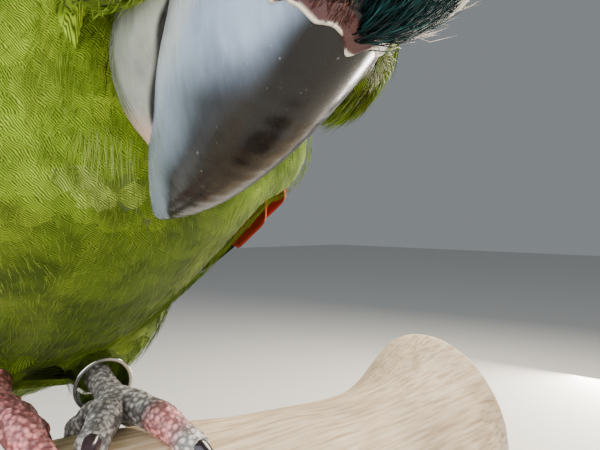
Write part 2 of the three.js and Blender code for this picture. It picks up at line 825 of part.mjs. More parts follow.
function wingVane(side, row, index) {
  const k = index / (row.tips.length - 1);
  const pick = ([first, last]) => lerp(first, last, k);
  return slab(row.rows, 2, (i, j, face) => {
    const { along, width } = vaneOutlines[row.rows][Math.round(i * row.rows)];
    const share = lerp(pick(row.root.share), row.tips[index], along);
    const reach = mantleReach(share);
    const upward = 2 * j - 1;
    const perDegree = rad((reach.x + reach.y) / 2 + pick(row.lift));
    const turn = lerp(pick(row.root.turn), pick(row.tip.turn), along) +
      (upward * width * pick(row.halfWidth)) / perDegree;
    const risen = smooth(along / 0.42);
    const lift = lerp(pick(row.sunk), pick(row.lift), risen) + (row.tilt * risen * (1 - upward)) / 2;
    return mantlePoint(side, share, rad(turn), wingClear + lift + face * vaneThickness);
  });
}

function wing(side) {
  const vanes = wingRows.flatMap((row) => row.tips.map((tip, index) => wingVane(side, row, index)));
  return joined([wingCore(side), ...vanes]);
}

function tailPoint(distance, left, height) {
  const slope = rad(tailSlope);
  return birdPoint(
    left,
    tailRoot.forward - distance * Math.cos(slope) + height * Math.sin(slope),
    tailRoot.height - distance * Math.sin(slope) + height * Math.cos(slope),
  );
}

// The tail's core is the feathered root that carries the tail feathers.
function tailCore() {
  return shaped(16, 9, (u, v) => {
    const distance = lerp(-6, tailCoreLength, v);
    const round = Math.sqrt(clamp(Math.min(v / 0.12, (1 - v) / 0.25), 0, 1));
    const turn = u * Math.PI * 2;
    const left = Math.cos(turn) * lerp(15, 12, v) * round;
    return tailPoint(distance, left, Math.sin(turn) * lerp(6.4, 3, v) * round - 2.6 - tailArch * left ** 2);
  });
}

// A feather that lies along the tail; start is its root's distance, and height its layer.
function tailVane({ start, end, root, tip, halfWidth, height, sunk, rows }) {
  return slab(rows, 2, (i, j, face) => {
    const { along, width } = vaneOutlines[rows][Math.round(i * rows)];
    const left = lerp(root, tip, along) + (2 * j - 1) * width * halfWidth;
    const rise = lerp(sunk, height, smooth(along / 0.3)) - tailArch * left ** 2;
    return tailPoint(lerp(start, end, along), left, rise + face * vaneThickness);
  });
}

function tail() {
  const vanes = [];
  for (const side of [1, -1]) {
    tailPairs.forEach((end, pair) => {
      const middle = pair === 0;
      const height = middle && side > 0 ? vaneStep : -pair * vaneStep;
      vanes.push({
        start: 26,
        end,
        root: side * (middle ? 3.4 : 6.6 + pair * 0.5),
        tip: side * (middle ? 2.4 : 6.2 + pair * 0.75),
        halfWidth: middle ? 7 : 6.2,
        height,
        sunk: height,
        rows: 4,
      });
    });
  }
  for (const { left, end } of upperTailCoverts) {
    const height = 2 * vaneStep + (left === 0 ? vaneStep : 0);
    vanes.push({ start: 2, end, root: left, tip: left * 0.8, halfWidth: 5.2, height, sunk: 0, rows: 3 });
  }
  for (const { left, end } of underTailCoverts) {
    const height = -(tailPairs.length + (left === 0 ? 1 : 0)) * vaneStep - 0.3;
    vanes.push({ start: 4, end, root: left, tip: left * 0.9, halfWidth: 5.2, height, sunk: -6, rows: 3 });
  }
  return joined([tailCore(), ...vanes.map(tailVane)]);
}

// ---------- the nodes ----------

const green = 0x5c8f1e;
const bodyGrown = body(gap);
const headGrown = headAhead(gap);
const upperGrown = upperBill(gap);
const lowerGrown = lowerBill(gap);

const [torsoPiece, neckPiece] = body(0)
  .subtract(bodyCut(neckShare))
  .decompose()
  .sort((a, b) => b.volume() - a.volume());
const padsGrown = cheekPad(1, gap).add(cheekPad(-1, gap));
addNode("neck", neckPiece.subtract(headGrown).subtract(lowerGrown).subtract(padsGrown), green, 0.8);

let headSolid = head(0);
for (const side of [1, -1]) {
  const pad = cheekPad(side, 0).subtract(upperGrown).subtract(lowerGrown);
  headSolid = headSolid.add(pad).add(lidRing(side)).subtract(eye(side, gap));
  addNode(side > 0 ? "eye_left" : "eye_right", eye(side, 0), 0x2a1c08, 0.1);
}
const nostrils = nostril(1).add(nostril(-1));
const cereBand = upperBill(gap).intersect(headAhead(cereWidth)).subtract(headGrown);
const cerePiece = cereBand.subtract(lowerGrown).subtract(nostrils);
headSolid = headSolid.subtract(nostrils);
const lowerPiece = lowerBill(0).subtract(upperGrown).subtract(headGrown);
addNode("head", headSolid, 0x3f6f3a, 0.8);
addNode("cere", cerePiece, 0xd8cdb4, 0.6);
addNode("upper_mandible", upperBill(0).subtract(headAhead(cereWidth + gap)), 0x3a3b3f, 0.3);
addNode("lower_mandible", lowerPiece, 0x4a4a4c, 0.35);

const ringRoom = legRing(feet[0], 0, gap);
for (const foot of feet) {
  const thighPiece = thigh(foot, 0).subtract(bodyGrown).subtract(ringRoom);
  const grownFoot = footSolid(foot, gap);
  const leg = tarsus(foot, 0).subtract(thigh(foot, gap)).subtract(bodyGrown).subtract(grownFoot);
  addNode(`thigh_${foot.name}`, thighPiece, green, 0.8);
  addNode(`leg_${foot.name}`, leg, 0x8a8078, 0.6);
  addNode(`foot_${foot.name}`, footSolid(foot, 0), 0x9a8a80, 0.6);
  for (const each of toes) {
    addNode(`claw_${foot.name}_${each.name}`, claw(foot, each).subtract(grownFoot), 0x1c1a1c, 0.25);
  }
}
addNode("leg_ring_left", legRing(feet[0], ringInnerRadius, 0), 0xc9ccd0, 0.15, 1);
addNode("torso", torsoPiece.subtract(headGrown).subtract(padsGrown).subtract(ringRoom), green, 0.8);
for (const foot of feet) {
  const wingSolid = wing(foot.side).subtract(bodyGrown).subtract(thigh(foot, gap));
  addNode(`wing_${foot.name}`, wingSolid, 0x3f7a2c, 0.6);
}
addNode("tail", tail().subtract(body(gap * 2)), 0x7a3a22, 0.6);

const branchGrown = perch(gap);
const rods = [rod(rodOffset), rod(-rodOffset)];
addNode("perch", perch(0), 0xb8a68e, 0.8);
addNode("stand_base", standBase(), 0x2b2622, 0.4);
rods.forEach((each, i) => addNode(`stand_rod_${i + 1}`, each.subtract(branchGrown), 0x9a9ca0, 0.3, 1));

export default bird;
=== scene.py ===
import math

import bpy
import numpy as np
from mathutils import Euler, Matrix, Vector
from mathutils.bvhtree import BVHTree
from mathutils.kdtree import KDTree


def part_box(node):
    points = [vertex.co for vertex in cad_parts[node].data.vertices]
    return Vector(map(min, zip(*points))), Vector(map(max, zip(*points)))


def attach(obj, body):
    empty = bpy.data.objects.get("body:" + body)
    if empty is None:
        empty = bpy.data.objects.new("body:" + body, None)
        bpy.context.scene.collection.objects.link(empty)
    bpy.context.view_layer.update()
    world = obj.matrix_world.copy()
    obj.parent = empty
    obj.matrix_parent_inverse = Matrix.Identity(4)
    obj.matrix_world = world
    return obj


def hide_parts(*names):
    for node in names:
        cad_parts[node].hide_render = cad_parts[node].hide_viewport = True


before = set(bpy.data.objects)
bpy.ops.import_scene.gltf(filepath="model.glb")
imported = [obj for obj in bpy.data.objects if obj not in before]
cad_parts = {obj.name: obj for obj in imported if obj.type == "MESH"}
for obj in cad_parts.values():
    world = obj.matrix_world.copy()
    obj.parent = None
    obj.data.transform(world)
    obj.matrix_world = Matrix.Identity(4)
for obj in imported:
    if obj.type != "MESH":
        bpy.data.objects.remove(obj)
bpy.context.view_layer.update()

# A chestnut-fronted macaw bowing its head on a cut branch. Lengths are in millimetres until a
# mesh is written, which is in metres. The bird faces -Y and its own left side is +X.

mm = 0.001
rng = np.random.default_rng(7)

# colours and nodes


def linear(code):
    # sRGB hex to linear colour
    parts = [int(code[i : i + 2], 16) / 255 for i in (1, 3, 5)]
    return np.array([c / 12.92 if c < 0.04045 else ((c + 0.055) / 1.055) ** 2.4 for c in parts])


def colour(code):
    return (*linear(code), 1)


def addNode(tree, kind, settings=None, links=None):
    node = tree.nodes.new(kind)
    for name, value in (settings or {}).items():
        if isinstance(name, str) and hasattr(node, name):
            setattr(node, name, value)
        else:
            node.inputs[name].default_value = value
    for name, socket in (links or {}).items():
        tree.links.new(socket, node.inputs[name])
    return node


def newMaterial(name):
    material = bpy.data.materials.new(name)
    material.use_nodes = True
    tree = material.node_tree
    shader = tree.nodes["Principled BSDF"]
    return material, tree, shader


def ramp(tree, socket, stops):
    node = addNode(tree, "ShaderNodeValToRGB", links={0: socket})
    band = node.color_ramp
    while len(band.elements) < len(stops):
        band.elements.new(0.5)
    for element, (place, code) in zip(band.elements, stops):
        element.position = place
        element.color = colour(code) if isinstance(code, str) else (code, code, code, 1)
    return node.outputs[0]


def mixed(tree, factor, first, second, mode="MIX"):
    node = addNode(tree, "ShaderNodeMix", {"data_type": "RGBA", "blend_type": mode})
    for slotIndex, value in ((0, factor), (6, first), (7, second)):
        if isinstance(value, bpy.types.NodeSocket):
            tree.links.new(value, node.inputs[slotIndex])
        else:
            node.inputs[slotIndex].default_value = value
    return node.outputs[2]


def maths(tree, what, first, second=0.0):
    node = addNode(tree, "ShaderNodeMath", {"operation": what})
    for slotIndex, value in enumerate((first, second)):
        if isinstance(value, bpy.types.NodeSocket):
            tree.links.new(value, node.inputs[slotIndex])
        else:
            node.inputs[slotIndex].default_value = value
    return node.outputs[0]


def setShader(shader, values):
    for name, value in values.items():
        shader.inputs[name].default_value = value


def markingsOf(tree):
    # the colours painted on the piece itself
    return addNode(tree, "ShaderNodeAttribute", {"attribute_name": "markings"}).outputs["Color"]


def objectSpace(tree):
    return addNode(tree, "ShaderNodeTexCoord").outputs["Object"]


def toned(tree, shader, tone, shade):
    # the surface's own colour: a tone darkened by a shade
    tree.links.new(mixed(tree, 1.0, tone, shade, "MULTIPLY"), shader.inputs["Base Color"])


def noiseFor(tree, size, detail=4.0, stretch=None, vector=None):
    # noise whose bumps are about size millimetres across
    where = vector or objectSpace(tree)
    if stretch:
        where = addNode(tree, "ShaderNodeMapping", {"Scale": stretch}, {"Vector": where}).outputs[0]
    return addNode(
        tree, "ShaderNodeTexNoise", {"Scale": 1 / (size * mm), "Detail": detail}, {"Vector": where}
    ).outputs[0]


def bumped(tree, shader, height, distance, strength):
    settings = {"Distance": distance * mm, "Strength": strength}
    node = addNode(tree, "ShaderNodeBump", settings, {"Height": height})
    tree.links.new(node.outputs[0], shader.inputs["Normal"])


# shaping helpers


def pointsOf(piece):
    flat = np.empty(len(piece.data.vertices) * 3)
    piece.data.vertices.foreach_get("co", flat)
    return flat.reshape(-1, 3)


def setPoints(piece, points):
    piece.data.vertices.foreach_set("co", np.asarray(points, float).ravel())
    piece.data.update()


def normalsOf(piece):
    flat = np.empty(len(piece.data.vertices) * 3)
    piece.data.vertices.foreach_get("normal", flat)
    return flat.reshape(-1, 3)


def unit(vectors):
    return vectors / np.maximum(np.linalg.norm(vectors, axis=-1, keepdims=True), 1e-9)


def lerp(a, b, share):
    return a + (b - a) * share


def rise(value, low, high):
    # 0 below low, 1 above high, and a smooth step between
    t = np.clip((value - low) / (high - low), 0, 1)
    return t * t * (3 - 2 * t)


def hump(value, middle, spread):
    return np.exp(-(((value - middle) / spread) ** 2))


def lumps(points, size, seed=0):
    # a smooth random height from -1 to 1, one bump for each size
    place = points / size + seed * 17.37
    cell = np.floor(place).astype(np.int64)
    part = place - cell
    part = part * part * (3 - 2 * part)
    total = np.zeros(points.shape[:-1])
    for corner in range(8):
        step = np.array([corner & 1, (corner >> 1) & 1, corner >> 2])
        at = cell + step
        mix = (at[..., 0] * 73856093) ^ (at[..., 1] * 19349663) ^ (at[..., 2] * 83492791)
        mix = (mix ^ (mix >> 13)) * 1274126177
        value = ((mix >> 8) & 0xFFFF) / 32767.5 - 1
        total += np.prod(np.where(step == 1, part, 1 - part), axis=-1) * value
    return total


def smoothLine(rows):
    # an even curve through rows of numbers, read at any share of its length
    keys = np.array(rows, float)
    keys = np.vstack([2 * keys[0] - keys[1], keys, 2 * keys[-1] - keys[-2]])

    def at(share):
        place = np.clip(np.asarray(share, float), 0, 1) * (len(keys) - 3)
        first = np.minimum(place.astype(int), len(keys) - 4)
        t = (place - first)[..., None]
        a, b, c, d = (keys[first + k] for k in range(4))
        return b + 0.5 * t * (c - a + t * (2 * a - 5 * b + 4 * c - d + t * (3 * (b - c) + d - a)))

    return at


def onlyActive(piece):
    bpy.ops.object.select_all(action="DESELECT")
    piece.select_set(True)
    bpy.context.view_layer.objects.active = piece


def applyModifier(piece, kind, **settings):
    onlyActive(piece)
    modifier = piece.modifiers.new(kind.title(), kind)
    for name, value in settings.items():
        setattr(modifier, name, value)
    bpy.ops.object.modifier_apply(modifier=modifier.name)


def joinAll(pieces, name):
    bpy.ops.object.select_all(action="DESELECT")
    for piece in pieces:
        piece.select_set(True)
    bpy.context.view_layer.objects.active = pieces[0]
    bpy.ops.object.join()
    pieces[0].name = name
    return pieces[0]


def outwards(piece):
    onlyActive(piece)
    bpy.ops.object.mode_set(mode="EDIT")
    bpy.ops.mesh.select_all(action="SELECT")
    bpy.ops.mesh.normals_make_consistent(inside=False)
    bpy.ops.object.mode_set(mode="OBJECT")


def added(make, name, **settings):
    # a new object from one of Blender's own starting shapes
    bpy.ops.object.select_all(action="DESELECT")
    make(**settings)
    piece = bpy.context.object
    piece.name = name
    return piece


def smoothed(piece, degrees):
    # soft shading, with edges sharper than this kept crisp
    onlyActive(piece)
    bpy.ops.object.shade_smooth_by_angle(angle=math.radians(degrees))


def bevelled(piece, width, segments, degrees):
    angle = math.radians(degrees)
    applyModifier(
        piece, "BEVEL", width=width * mm, segments=segments, limit_method="ANGLE", angle_limit=angle
    )


def nearTree(points):
    tree = KDTree(len(points))
    for index, place in enumerate(points):
        tree.insert(place, index)
    tree.balance()
    return tree


def shaped(name, around, along, place):
    # a ball whose points are moved: place gets the share round and the share along
    ball = bpy.ops.mesh.primitive_uv_sphere_add
    piece = added(ball, name, segments=around, ring_count=along, radius=1)
    start = pointsOf(piece)
    turn = np.round(np.arctan2(start[:, 1], start[:, 0]) / (2 * np.pi) * around) / around % 1
    share = np.arccos(np.clip(-start[:, 2], -1, 1)) / np.pi
    turn[(share < 1e-4) | (share > 1 - 1e-4)] = 0
    setPoints(piece, place(turn, share) * mm)
    outwards(piece)
    bpy.ops.object.shade_smooth()
    return piece


def finished(piece, material, slot, *nodes):
    piece.data.materials.clear()
    piece.data.materials.append(material)
    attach(piece, "root")
    if nodes:
        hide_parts(*nodes)


# where things are

perch = {
    "top": 132, "radius": 27, "leftEnd": 108, "rightEnd": 96, "smoothReach": 32,
    "line": [(-96, -5, 2), (-45, 0, 0), (0, 3, 0), (40, 11, -3), (74, 14, -2.5), (108, 4, 5)],
    "knots": [(66, 1.9, 4.5, 13), (-52, -0.4, 3.5, 11)],
}
headPlace = {"left": 3, "forward": 55, "height": 60.5, "bow": 104.5, "tilt": 11, "turn": -4.4}


def birdPoint(left, forward, height):
    left, forward, height = np.broadcast_arrays(left, forward, height)
    return np.stack([left, -forward, perch["top"] + height], -1).astype(float)


def headAxes():
    bow, tilt, turn = (math.radians(headPlace[key]) for key in ("bow", "tilt", "turn"))
    about = [Euler((0, tilt, 0)), Euler((0, 0, turn)), Euler((bow, 0, 0))]
    total = about[0].to_matrix() @ about[1].to_matrix() @ about[2].to_matrix()
    return np.array(total)


headTurned = headAxes()
headOrigin = birdPoint(headPlace["left"], headPlace["forward"], headPlace["height"])


def headPoint(forward, left, up):
    forward, left, up = np.broadcast_arrays(forward, left, up)
    return np.stack([left, -forward, up], -1) @ headTurned.T + headOrigin


def inHead(points):
    # forward, left and up from the middle of the bill's base
    local = (points - headOrigin) @ headTurned
    return -local[..., 1], local[..., 0], local[..., 2]


# camera, floor and lights

view = {
    "left": -29.3, "forward": 100.4, "height": 42, "turn": -40,
    "lens": 28.98, "sensor": 36,
    # in metres
    "nearest": 0.005, "farthest": 20,
}


def setCamera():
    bpy.ops.object.select_all(action="DESELECT")
    at = birdPoint(view["left"], view["forward"], view["height"]) * mm
    bpy.ops.object.camera_add(location=at, rotation=(math.pi / 2, 0, math.radians(view["turn"])))
    camera = bpy.context.object
    camera.data.lens = view["lens"]
    camera.data.sensor_width = view["sensor"]
    camera.data.clip_start = view["nearest"]
    camera.data.clip_end = view["farthest"]
    camera.data.dof.use_dof = False
    bpy.context.scene.camera = camera


studio = {
    "floor": "#d8d6d0",
    "floorSize": 6,
    "world": "#a3a9ae",
    "worldStrength": 0.6,
    # name, power, size, colour, from (left, forward, height), to
    "lamps": [
        ("sunward", 9, 0.35, "#fff3e0", (420, -80, 420), (0, 40, 40)),
        ("sky", 6.5, 0.9, "#d9e6f6", (-520, 60, 360), (0, 40, 40)),
        ("fill", 7.0, 0.6, "#f7f2e6", (-330, 520, 190), (0, 40, 50)),
        ("rim", 3.6, 0.14, "#fff6ea", (600, -60, -60), (0, 60, 40)),
    ],
}


def setStudio():
    floor = added(bpy.ops.mesh.primitive_plane_add, "floor", size=studio["floorSize"], location=(0, 0, 0))
    material, _, shader = newMaterial("matt paper backdrop")  # even, no shine
    setShader(shader, {"Base Color": colour(studio["floor"]), "Roughness": 0.9})
    floor.data.materials.append(material)
    world = bpy.data.worlds.new("studio")
    world.use_nodes = True
    background = world.node_tree.nodes["Background"]
    background.inputs["Color"].default_value = colour(studio["world"])
    background.inputs["Strength"].default_value = studio["worldStrength"]
    bpy.context.scene.world = world
    for name, power, size, code, start, aim in studio["lamps"]:
        at = Vector(birdPoint(*start) * mm)
        to = Vector(birdPoint(*aim) * mm)
        turn = (to - at).to_track_quat("-Z", "Y").to_euler()
        bpy.ops.object.light_add(type="AREA", location=at, rotation=turn)
        lamp = bpy.context.object
        lamp.name = name
        lamp.data.energy = power
        lamp.data.size = size
        lamp.data.color = linear(code)


setCamera()
setStudio()
print("camera and studio are set")

# the body's and the head's own shape

# belly forward and height, back forward and height, half width
bodySections = np.array([
    (-129, -23, -129, -23, 0), (-114, -24, -123, -7, 13), (-88, -17, -108, 13, 24),
    (-62, -8, -90, 35, 32), (-35, 4, -67, 56, 36.5), (-8, 17, -40, 73.5, 38.5),
    (13, 31, -16, 85, 41.5), (23, 43, 2, 93, 45), (26, 54.5, 16, 100, 40),
    (27.5, 63, 31, 105, 29), (30, 68, 47, 106, 21.5), (38, 76, 58, 101, 16),
    (57, 84, 57, 84, 0),
])
bodyLine = smoothLine(bodySections)


def bodySurface(share, turn):
    row = bodyLine(share)
    belly, back, side = row[..., 0:2], row[..., 2:4], row[..., 4]
    middle = (belly + back) / 2
    across = back - belly
    reach = np.linalg.norm(across, axis=-1) / 2
    away = np.where(reach[..., None] < 1e-6, [0.0, 1.0], across / np.maximum(2 * reach, 1e-9)[..., None])
    tall = np.sin(turn) * reach
    return birdPoint(
        np.cos(turn) * side, middle[..., 0] + away[..., 0] * tall, middle[..., 1] + away[..., 1] * tall
    )


# forward, top, bottom, half width
headSections = [
    (-43, 2, 2, 0), (-38.5, 13, -10, 12.5), (-30, 19.5, -17, 17.6), (-20, 22, -19.5, 19.6),
    (-11, 20.6, -22.5, 18), (-6, 18.3, -22.5, 15), (-3.4, 15.6, -19.5, 11.8), (-2.4, 0, 0, 0),
]
headLine = smoothLine(headSections)
headShape = {"lean": 0.2, "brow": 4.5, "browWidth": 5.5, "cheekPuff": 0.42}


def squared(value, power):
    return np.sign(value) * np.abs(value) ** power


def headSurface(share, turn):
    row = headLine(share)
    forward, top, bottom, side = (row[..., k] for k in range(4))
    middle = (top + bottom) / 2
    tall = squared(np.sin(turn), 0.92) * ((top - bottom) / 2)
    front = np.clip((forward + 22) / 20, 0, 1)
    puff = 1 + headShape["cheekPuff"] * front * hump(middle + tall, -13, 8)
    out = squared(np.cos(turn), 0.92) * (side * puff)
    lean = headShape["lean"] * front * (middle + tall - 2)
    brow = np.clip((middle + tall + 12) / 12, 0, 1)
    peak = headShape["brow"] * brow * front * (1 - hump(out, 0, headShape["browWidth"]))
    return headPoint(forward + lean - peak, out, middle + tall)


def limbShape(stations, capShare=0.1):
    # a place function for a limb with rounded ends; stations are centres and radii
    line = smoothLine(stations)

    def place(u, v):
        angle = v * np.pi
        inside = np.clip((v - capShare) / (1 - 2 * capShare), 0, 1)
        centre = line(inside)
        after, before = line(np.minimum(inside + 0.02, 1)), line(np.maximum(inside - 0.02, 0))
        ahead = unit(after[..., :3] - before[..., :3])
        other = unit(np.cross(ahead, [1.0, 0, 0]))
        across = unit(np.cross(other, ahead))
        cap = np.where(v < capShare, v / capShare, np.where(v > 1 - capShare, (1 - v) / capShare, 1))
        ring = np.sqrt(np.clip(1 - (1 - cap) ** 2, 0, 1)) * centre[..., 3]
        over = np.sign(angle - np.pi / 2) * (1 - cap) * centre[..., 3]
        turn = u * 2 * np.pi
        return (
            centre[..., :3] + ahead * over[..., None] + across * (np.cos(turn) * ring)[..., None]
            + other * (np.sin(turn) * ring)[..., None]
        )

    return place


# feet and legs: where they are

# name, bearing, length, length of the claw
toes = [
    ("inner_front", -24, 19, 11), ("outer_front", 22, 25, 12), ("outer_back", 150, 25, 12),
    ("inner_back", -151, 14, 9),
]
feet = [
    {"name": "left", "side": 1, "left": 8, "forward": -6, "turn": -8, "arch": 0.8},
    {"name": "right", "side": -1, "left": -15, "forward": -6.5, "turn": -10, "arch": 3.4},
]
footShape = {
    "toeRadius": 3.5, "gap": 0.3,
    # under the ankle: distance from the toes' meeting point, height over them, added radius
    "heel": [(-4, 0.8, 0.6), (-1.6, 0.8, 0.55), (0.8, 0.7, 0.5), (3, 0.6, 0.4)],
}

perchKeys = smoothLine(perch["line"])
perchTable = perchKeys(np.linspace(0, 1, 400))


def perchMiddle(left):
    forward = np.interp(left, perchTable[:, 0], perchTable[:, 1])
    height = np.interp(left, perchTable[:, 0], perchTable[:, 2])
    return forward, height - perch["radius"]


def onBranch(foot, bearing, distance, height):
    # a point at a distance along a toe and a height above the wood
    reach = perch["radius"] + height
    heading = math.radians(foot["side"] * bearing + foot["turn"])
    left = foot["left"] + distance * math.sin(heading)
    forward, middle = perchMiddle(left)
    start = math.asin((foot["forward"] - forward) / reach)
    angle = start + distance * math.cos(heading) / (perch["radius"] + footShape["toeRadius"])
    return birdPoint(left, forward + reach * math.sin(angle), middle + reach * math.cos(angle))


def legPoints(foot):
    ball = onBranch(foot, 0, -1, footShape["toeRadius"] + foot["arch"] + 0.6)
    ankle = birdPoint(foot["left"] - foot["side"] + 2, foot["forward"] - 21, foot["arch"] + 5)
    return ball, ankle


# skin

skinShape = {
    "voxel": 1.1, "smoothing": 10, "coatDepth": 1.5, "underCoatShade": 0.66,
    # fluffed cheek feathers, and where they grow from: forward, out, up, and half lengths
    "cheek": (-10, 18.6, -10, 11, 5.4, 8.6), "cheekRoot": (-22, 8, -8, 11, 9, 11),
    # body feathers that lie over the bend of the folded wing: centre and half lengths
    "shoulder": (35.5, 7, 61), "shoulderHalf": (12, 15, 14.5),
}


def thighShape(foot):
    ankle = legPoints(foot)[1]
    hip = birdPoint(foot["side"] * 20, -44, 24)
    rows = [(0, 18), (0.5, 14.5), (0.85, 10), (1, 7)]
    return limbShape([(*lerp(hip, ankle, share), radius) for share, radius in rows])


def cheekShape(side, part="cheek"):
    forward, out, up, long, wide, tall = skinShape[part]

    def place(u, v):
        turn = u * 2 * np.pi
        ring = np.sin(v * np.pi)
        return headPoint(
            forward - np.cos(v * np.pi) * long,
            side * (out + np.cos(turn) * ring * wide),
            up + np.sin(turn) * ring * tall,
        )

    return place


def shoulderShape(side):
    def place(u, v):
        turn, ring = u * 2 * np.pi, np.sin(v * np.pi)
        left, forward, height = skinShape["shoulder"]
        wide, long, tall = skinShape["shoulderHalf"]
        return birdPoint(
            side * (left + np.cos(turn) * ring * wide),
            forward - np.cos(v * np.pi) * long,
            height + np.sin(turn) * ring * tall,
        )

    return place


def cheekForm(side):
    # the two eggs and the skin stretched over both
    eggs = [shaped("cheekForm", 40, 30, cheekShape(side, part)) for part in ("cheek", "cheekRoot")]
    form = joinAll(eggs, "cheekForm")
    onlyActive(form)
    bpy.ops.object.mode_set(mode="EDIT")
    bpy.ops.mesh.select_all(action="SELECT")
    bpy.ops.mesh.convex_hull()
    bpy.ops.object.mode_set(mode="OBJECT")
    return form


def makeSkin():
    parts = [
        shaped("skin", 96, 110, lambda u, v: bodySurface(v, u * 2 * np.pi)),
        shaped("headForm", 96, 80, lambda u, v: headSurface(v, u * 2 * np.pi)),
    ]
    for foot in feet:
        parts.append(shaped("thighForm", 40, 30, thighShape(foot)))
        parts.append(cheekForm(foot["side"]))
        parts.append(shaped("shoulderForm", 40, 30, shoulderShape(foot["side"])))
    skin = joinAll(parts, "skin")
    applyModifier(skin, "REMESH", mode="VOXEL", voxel_size=skinShape["voxel"] * mm)
    applyModifier(skin, "SMOOTH", factor=0.5, iterations=skinShape["smoothing"])
    onlyActive(skin)
    bpy.ops.object.shade_smooth()
    return skin


skin = makeSkin()


def treeOf(piece):
    flat = pointsOf(piece) / mm
    return BVHTree.FromPolygons(flat.tolist(), [tuple(face.vertices) for face in piece.data.polygons])


def faceOval(points):
    # below 1 within the bare face, seen from the side
    forward, _, up = inHead(points)
    return ((forward + 14.5) / 12.8) ** 2 + ((up - 2.6) / 10.2) ** 2


def bareFace(points):
    # how bare the skin is: 1 on the white face, 0 where feathers grow
    forward, left, up = inHead(points)
    left = np.abs(left)
    brow = rise(1 - 1.6 * (forward + 8) - up, -1, 1.2)
    return brow * (1 - rise(faceOval(points), 0.85, 1.12)) * rise(left, 8, 11) * (1 - rise(left, 17.0, 18.4))


def fromCere(points):
    # how far behind the cere's line a point of the forehead lies
    forward, left, up = inHead(points)
    line = -1 + 0.2 * (up - 17.3) - 4.5 * (1 - hump(left, 0, 5.5))
    return line - forward


def bareLore(points):
    # the bare strip between the cere and the eye, wider on the bird's left side
    _, left, up = inHead(points)
    side = np.where(left > -3, rise(left, -1.7, 0.0), rise(-left, 6.5, 8.5))
    behind = fromCere(points)
    here = (np.abs(left) < 14) & (np.abs(up) < 24)
    return side * rise(behind, -2.5, -1.0) * (1 - rise(behind, 0.8, 1.5)) * here


# the outer surface of the coat is the form itself, and the skin lies under it
outerPoints = pointsOf(skin) / mm
outerNormals = normalsOf(skin)
depth = skinShape["coatDepth"] * (1 - bareFace(outerPoints))
forwardOf, leftOf, upOf = inHead(outerPoints)
nearBill = rise(forwardOf, -12, -4) * (1 - rise(np.abs(leftOf), 14, 20)) * rise(upOf, -30, -20)
depth *= 1 - 0.75 * nearBill
setPoints(skin, (outerPoints - outerNormals * depth[:, None]) * mm)
skinTree = treeOf(skin)
print("skin has", len(skin.data.polygons), "faces")

# markings that skin and feathers share

plumage = {
    "green": linear("#6c8722"), "lime": linear("#8fa236"), "olive": linear("#4c6414"),
    "teal": linear("#0b2b2c"), "chestnut": linear("#472321"), "beige": linear("#a5897a"),
    "white": linear("#ddd3c8"), "strand": linear("#b3c04a"), "under": linear("#33450f"),
    "pale": linear("#9db06a"),
}


def blended(base, other, share):
    # each point's own share of the other colour
    return base * (1 - share[:, None]) + other * share[:, None]


def markings(points):
    forward, left, up = inHead(points)
    count = len(points)
    height = points[:, 2] - perch["top"]
    mottle = lumps(points, 14, 1) * 0.5 + lumps(points, 5, 2) * 0.35
    tone = np.tile(plumage["green"], (count, 1))
    tone = blended(tone, plumage["lime"], np.clip(mottle * 1.1, 0, 0.7))
    tone = blended(tone, plumage["olive"], np.clip(-mottle * 1.1, 0, 0.75))
    low = rise(-height, -38, 4) * (points[:, 1] > -32)
    tone = blended(tone, plumage["olive"], low * 0.45)
    # painted light and shade: bright over the feet and at the throat, darker on the breast between them
    tone = tone * np.interp(height, [4, 14, 26, 45, 55], [1.6, 1.0, 0.7, 0.62, 1.55])[:, None]
    # painted shade: the breast is a deeper olive towards its left side, where it lies in shade below the
    # bill
    paintedBreastShade = rise(-height, -34, -8) * rise(-points[:, 1], 12, 30) * rise(points[:, 0], -20, 6)
    tone = blended(tone, tone * [0.42, 0.52, 0.05], paintedBreastShade)
    paintedFlankShade = rise(points[:, 0], -6, 8) * rise(-points[:, 1], 16, 30) * (1 - rise(height, 66, 84))
    tone = blended(tone, tone * [0.6, 0.66, 0.1], paintedFlankShade)
    # a pale tuft under the bill
    tuft = hump(forward, 14.5, 2.2) * hump(left, -8, 4.5) * (up < -18)
    tone = blended(tone, plumage["pale"], tuft * 0.75)
    # the blue-green crown, the chestnut band over the bill and the bare skin beside it
    isHead = rise(forward, -46, -40) * (1 - rise(forward, 6, 10)) * rise(up, -26, -14)
    crown = isHead * rise(up - 0.12 * (forward + 20), 4, 11) * rise(forward, -36, -18)
    tone = blended(tone, plumage["teal"], crown)
    behind = fromCere(points)
    limit = lerp(2.3, 0.6, rise(left, -1.5, 1.0))
    front = isHead * rise(up, 6, 10) * rise(limit - behind, -0.5, 0.5) * (np.abs(left) < 14)
    tone = blended(tone, plumage["chestnut"], front)
    tone = blended(tone, plumage["beige"], bareLore(points) * 0.9)
    tone = blended(tone, plumage["white"], np.maximum(bareFace(points), bareLore(points) * rise(left, 2, 4)))
    # a thin chestnut edge round the lower side of the bare face
    inner = hump(faceOval(points), 1.22, 0.13) * rise(-up, 0, 4) * rise(np.abs(left), 7.5, 10.5)
    outer = hump(np.abs(left), 18.2, 0.5) * (faceOval(points) < 1.2) * (up < 2) * (forward > -8)
    tone = blended(tone, plumage["chestnut"], np.clip(inner + outer, 0, 1) * 0.9)
    return np.clip(tone, 0, 1)


def paint(piece, tones):
    layer = piece.data.color_attributes.new("markings", "FLOAT_COLOR", "POINT")
    full = np.ones((len(tones), 4), np.float32)
    full[:, :3] = tones
    layer.data.foreach_set("color", full.ravel())


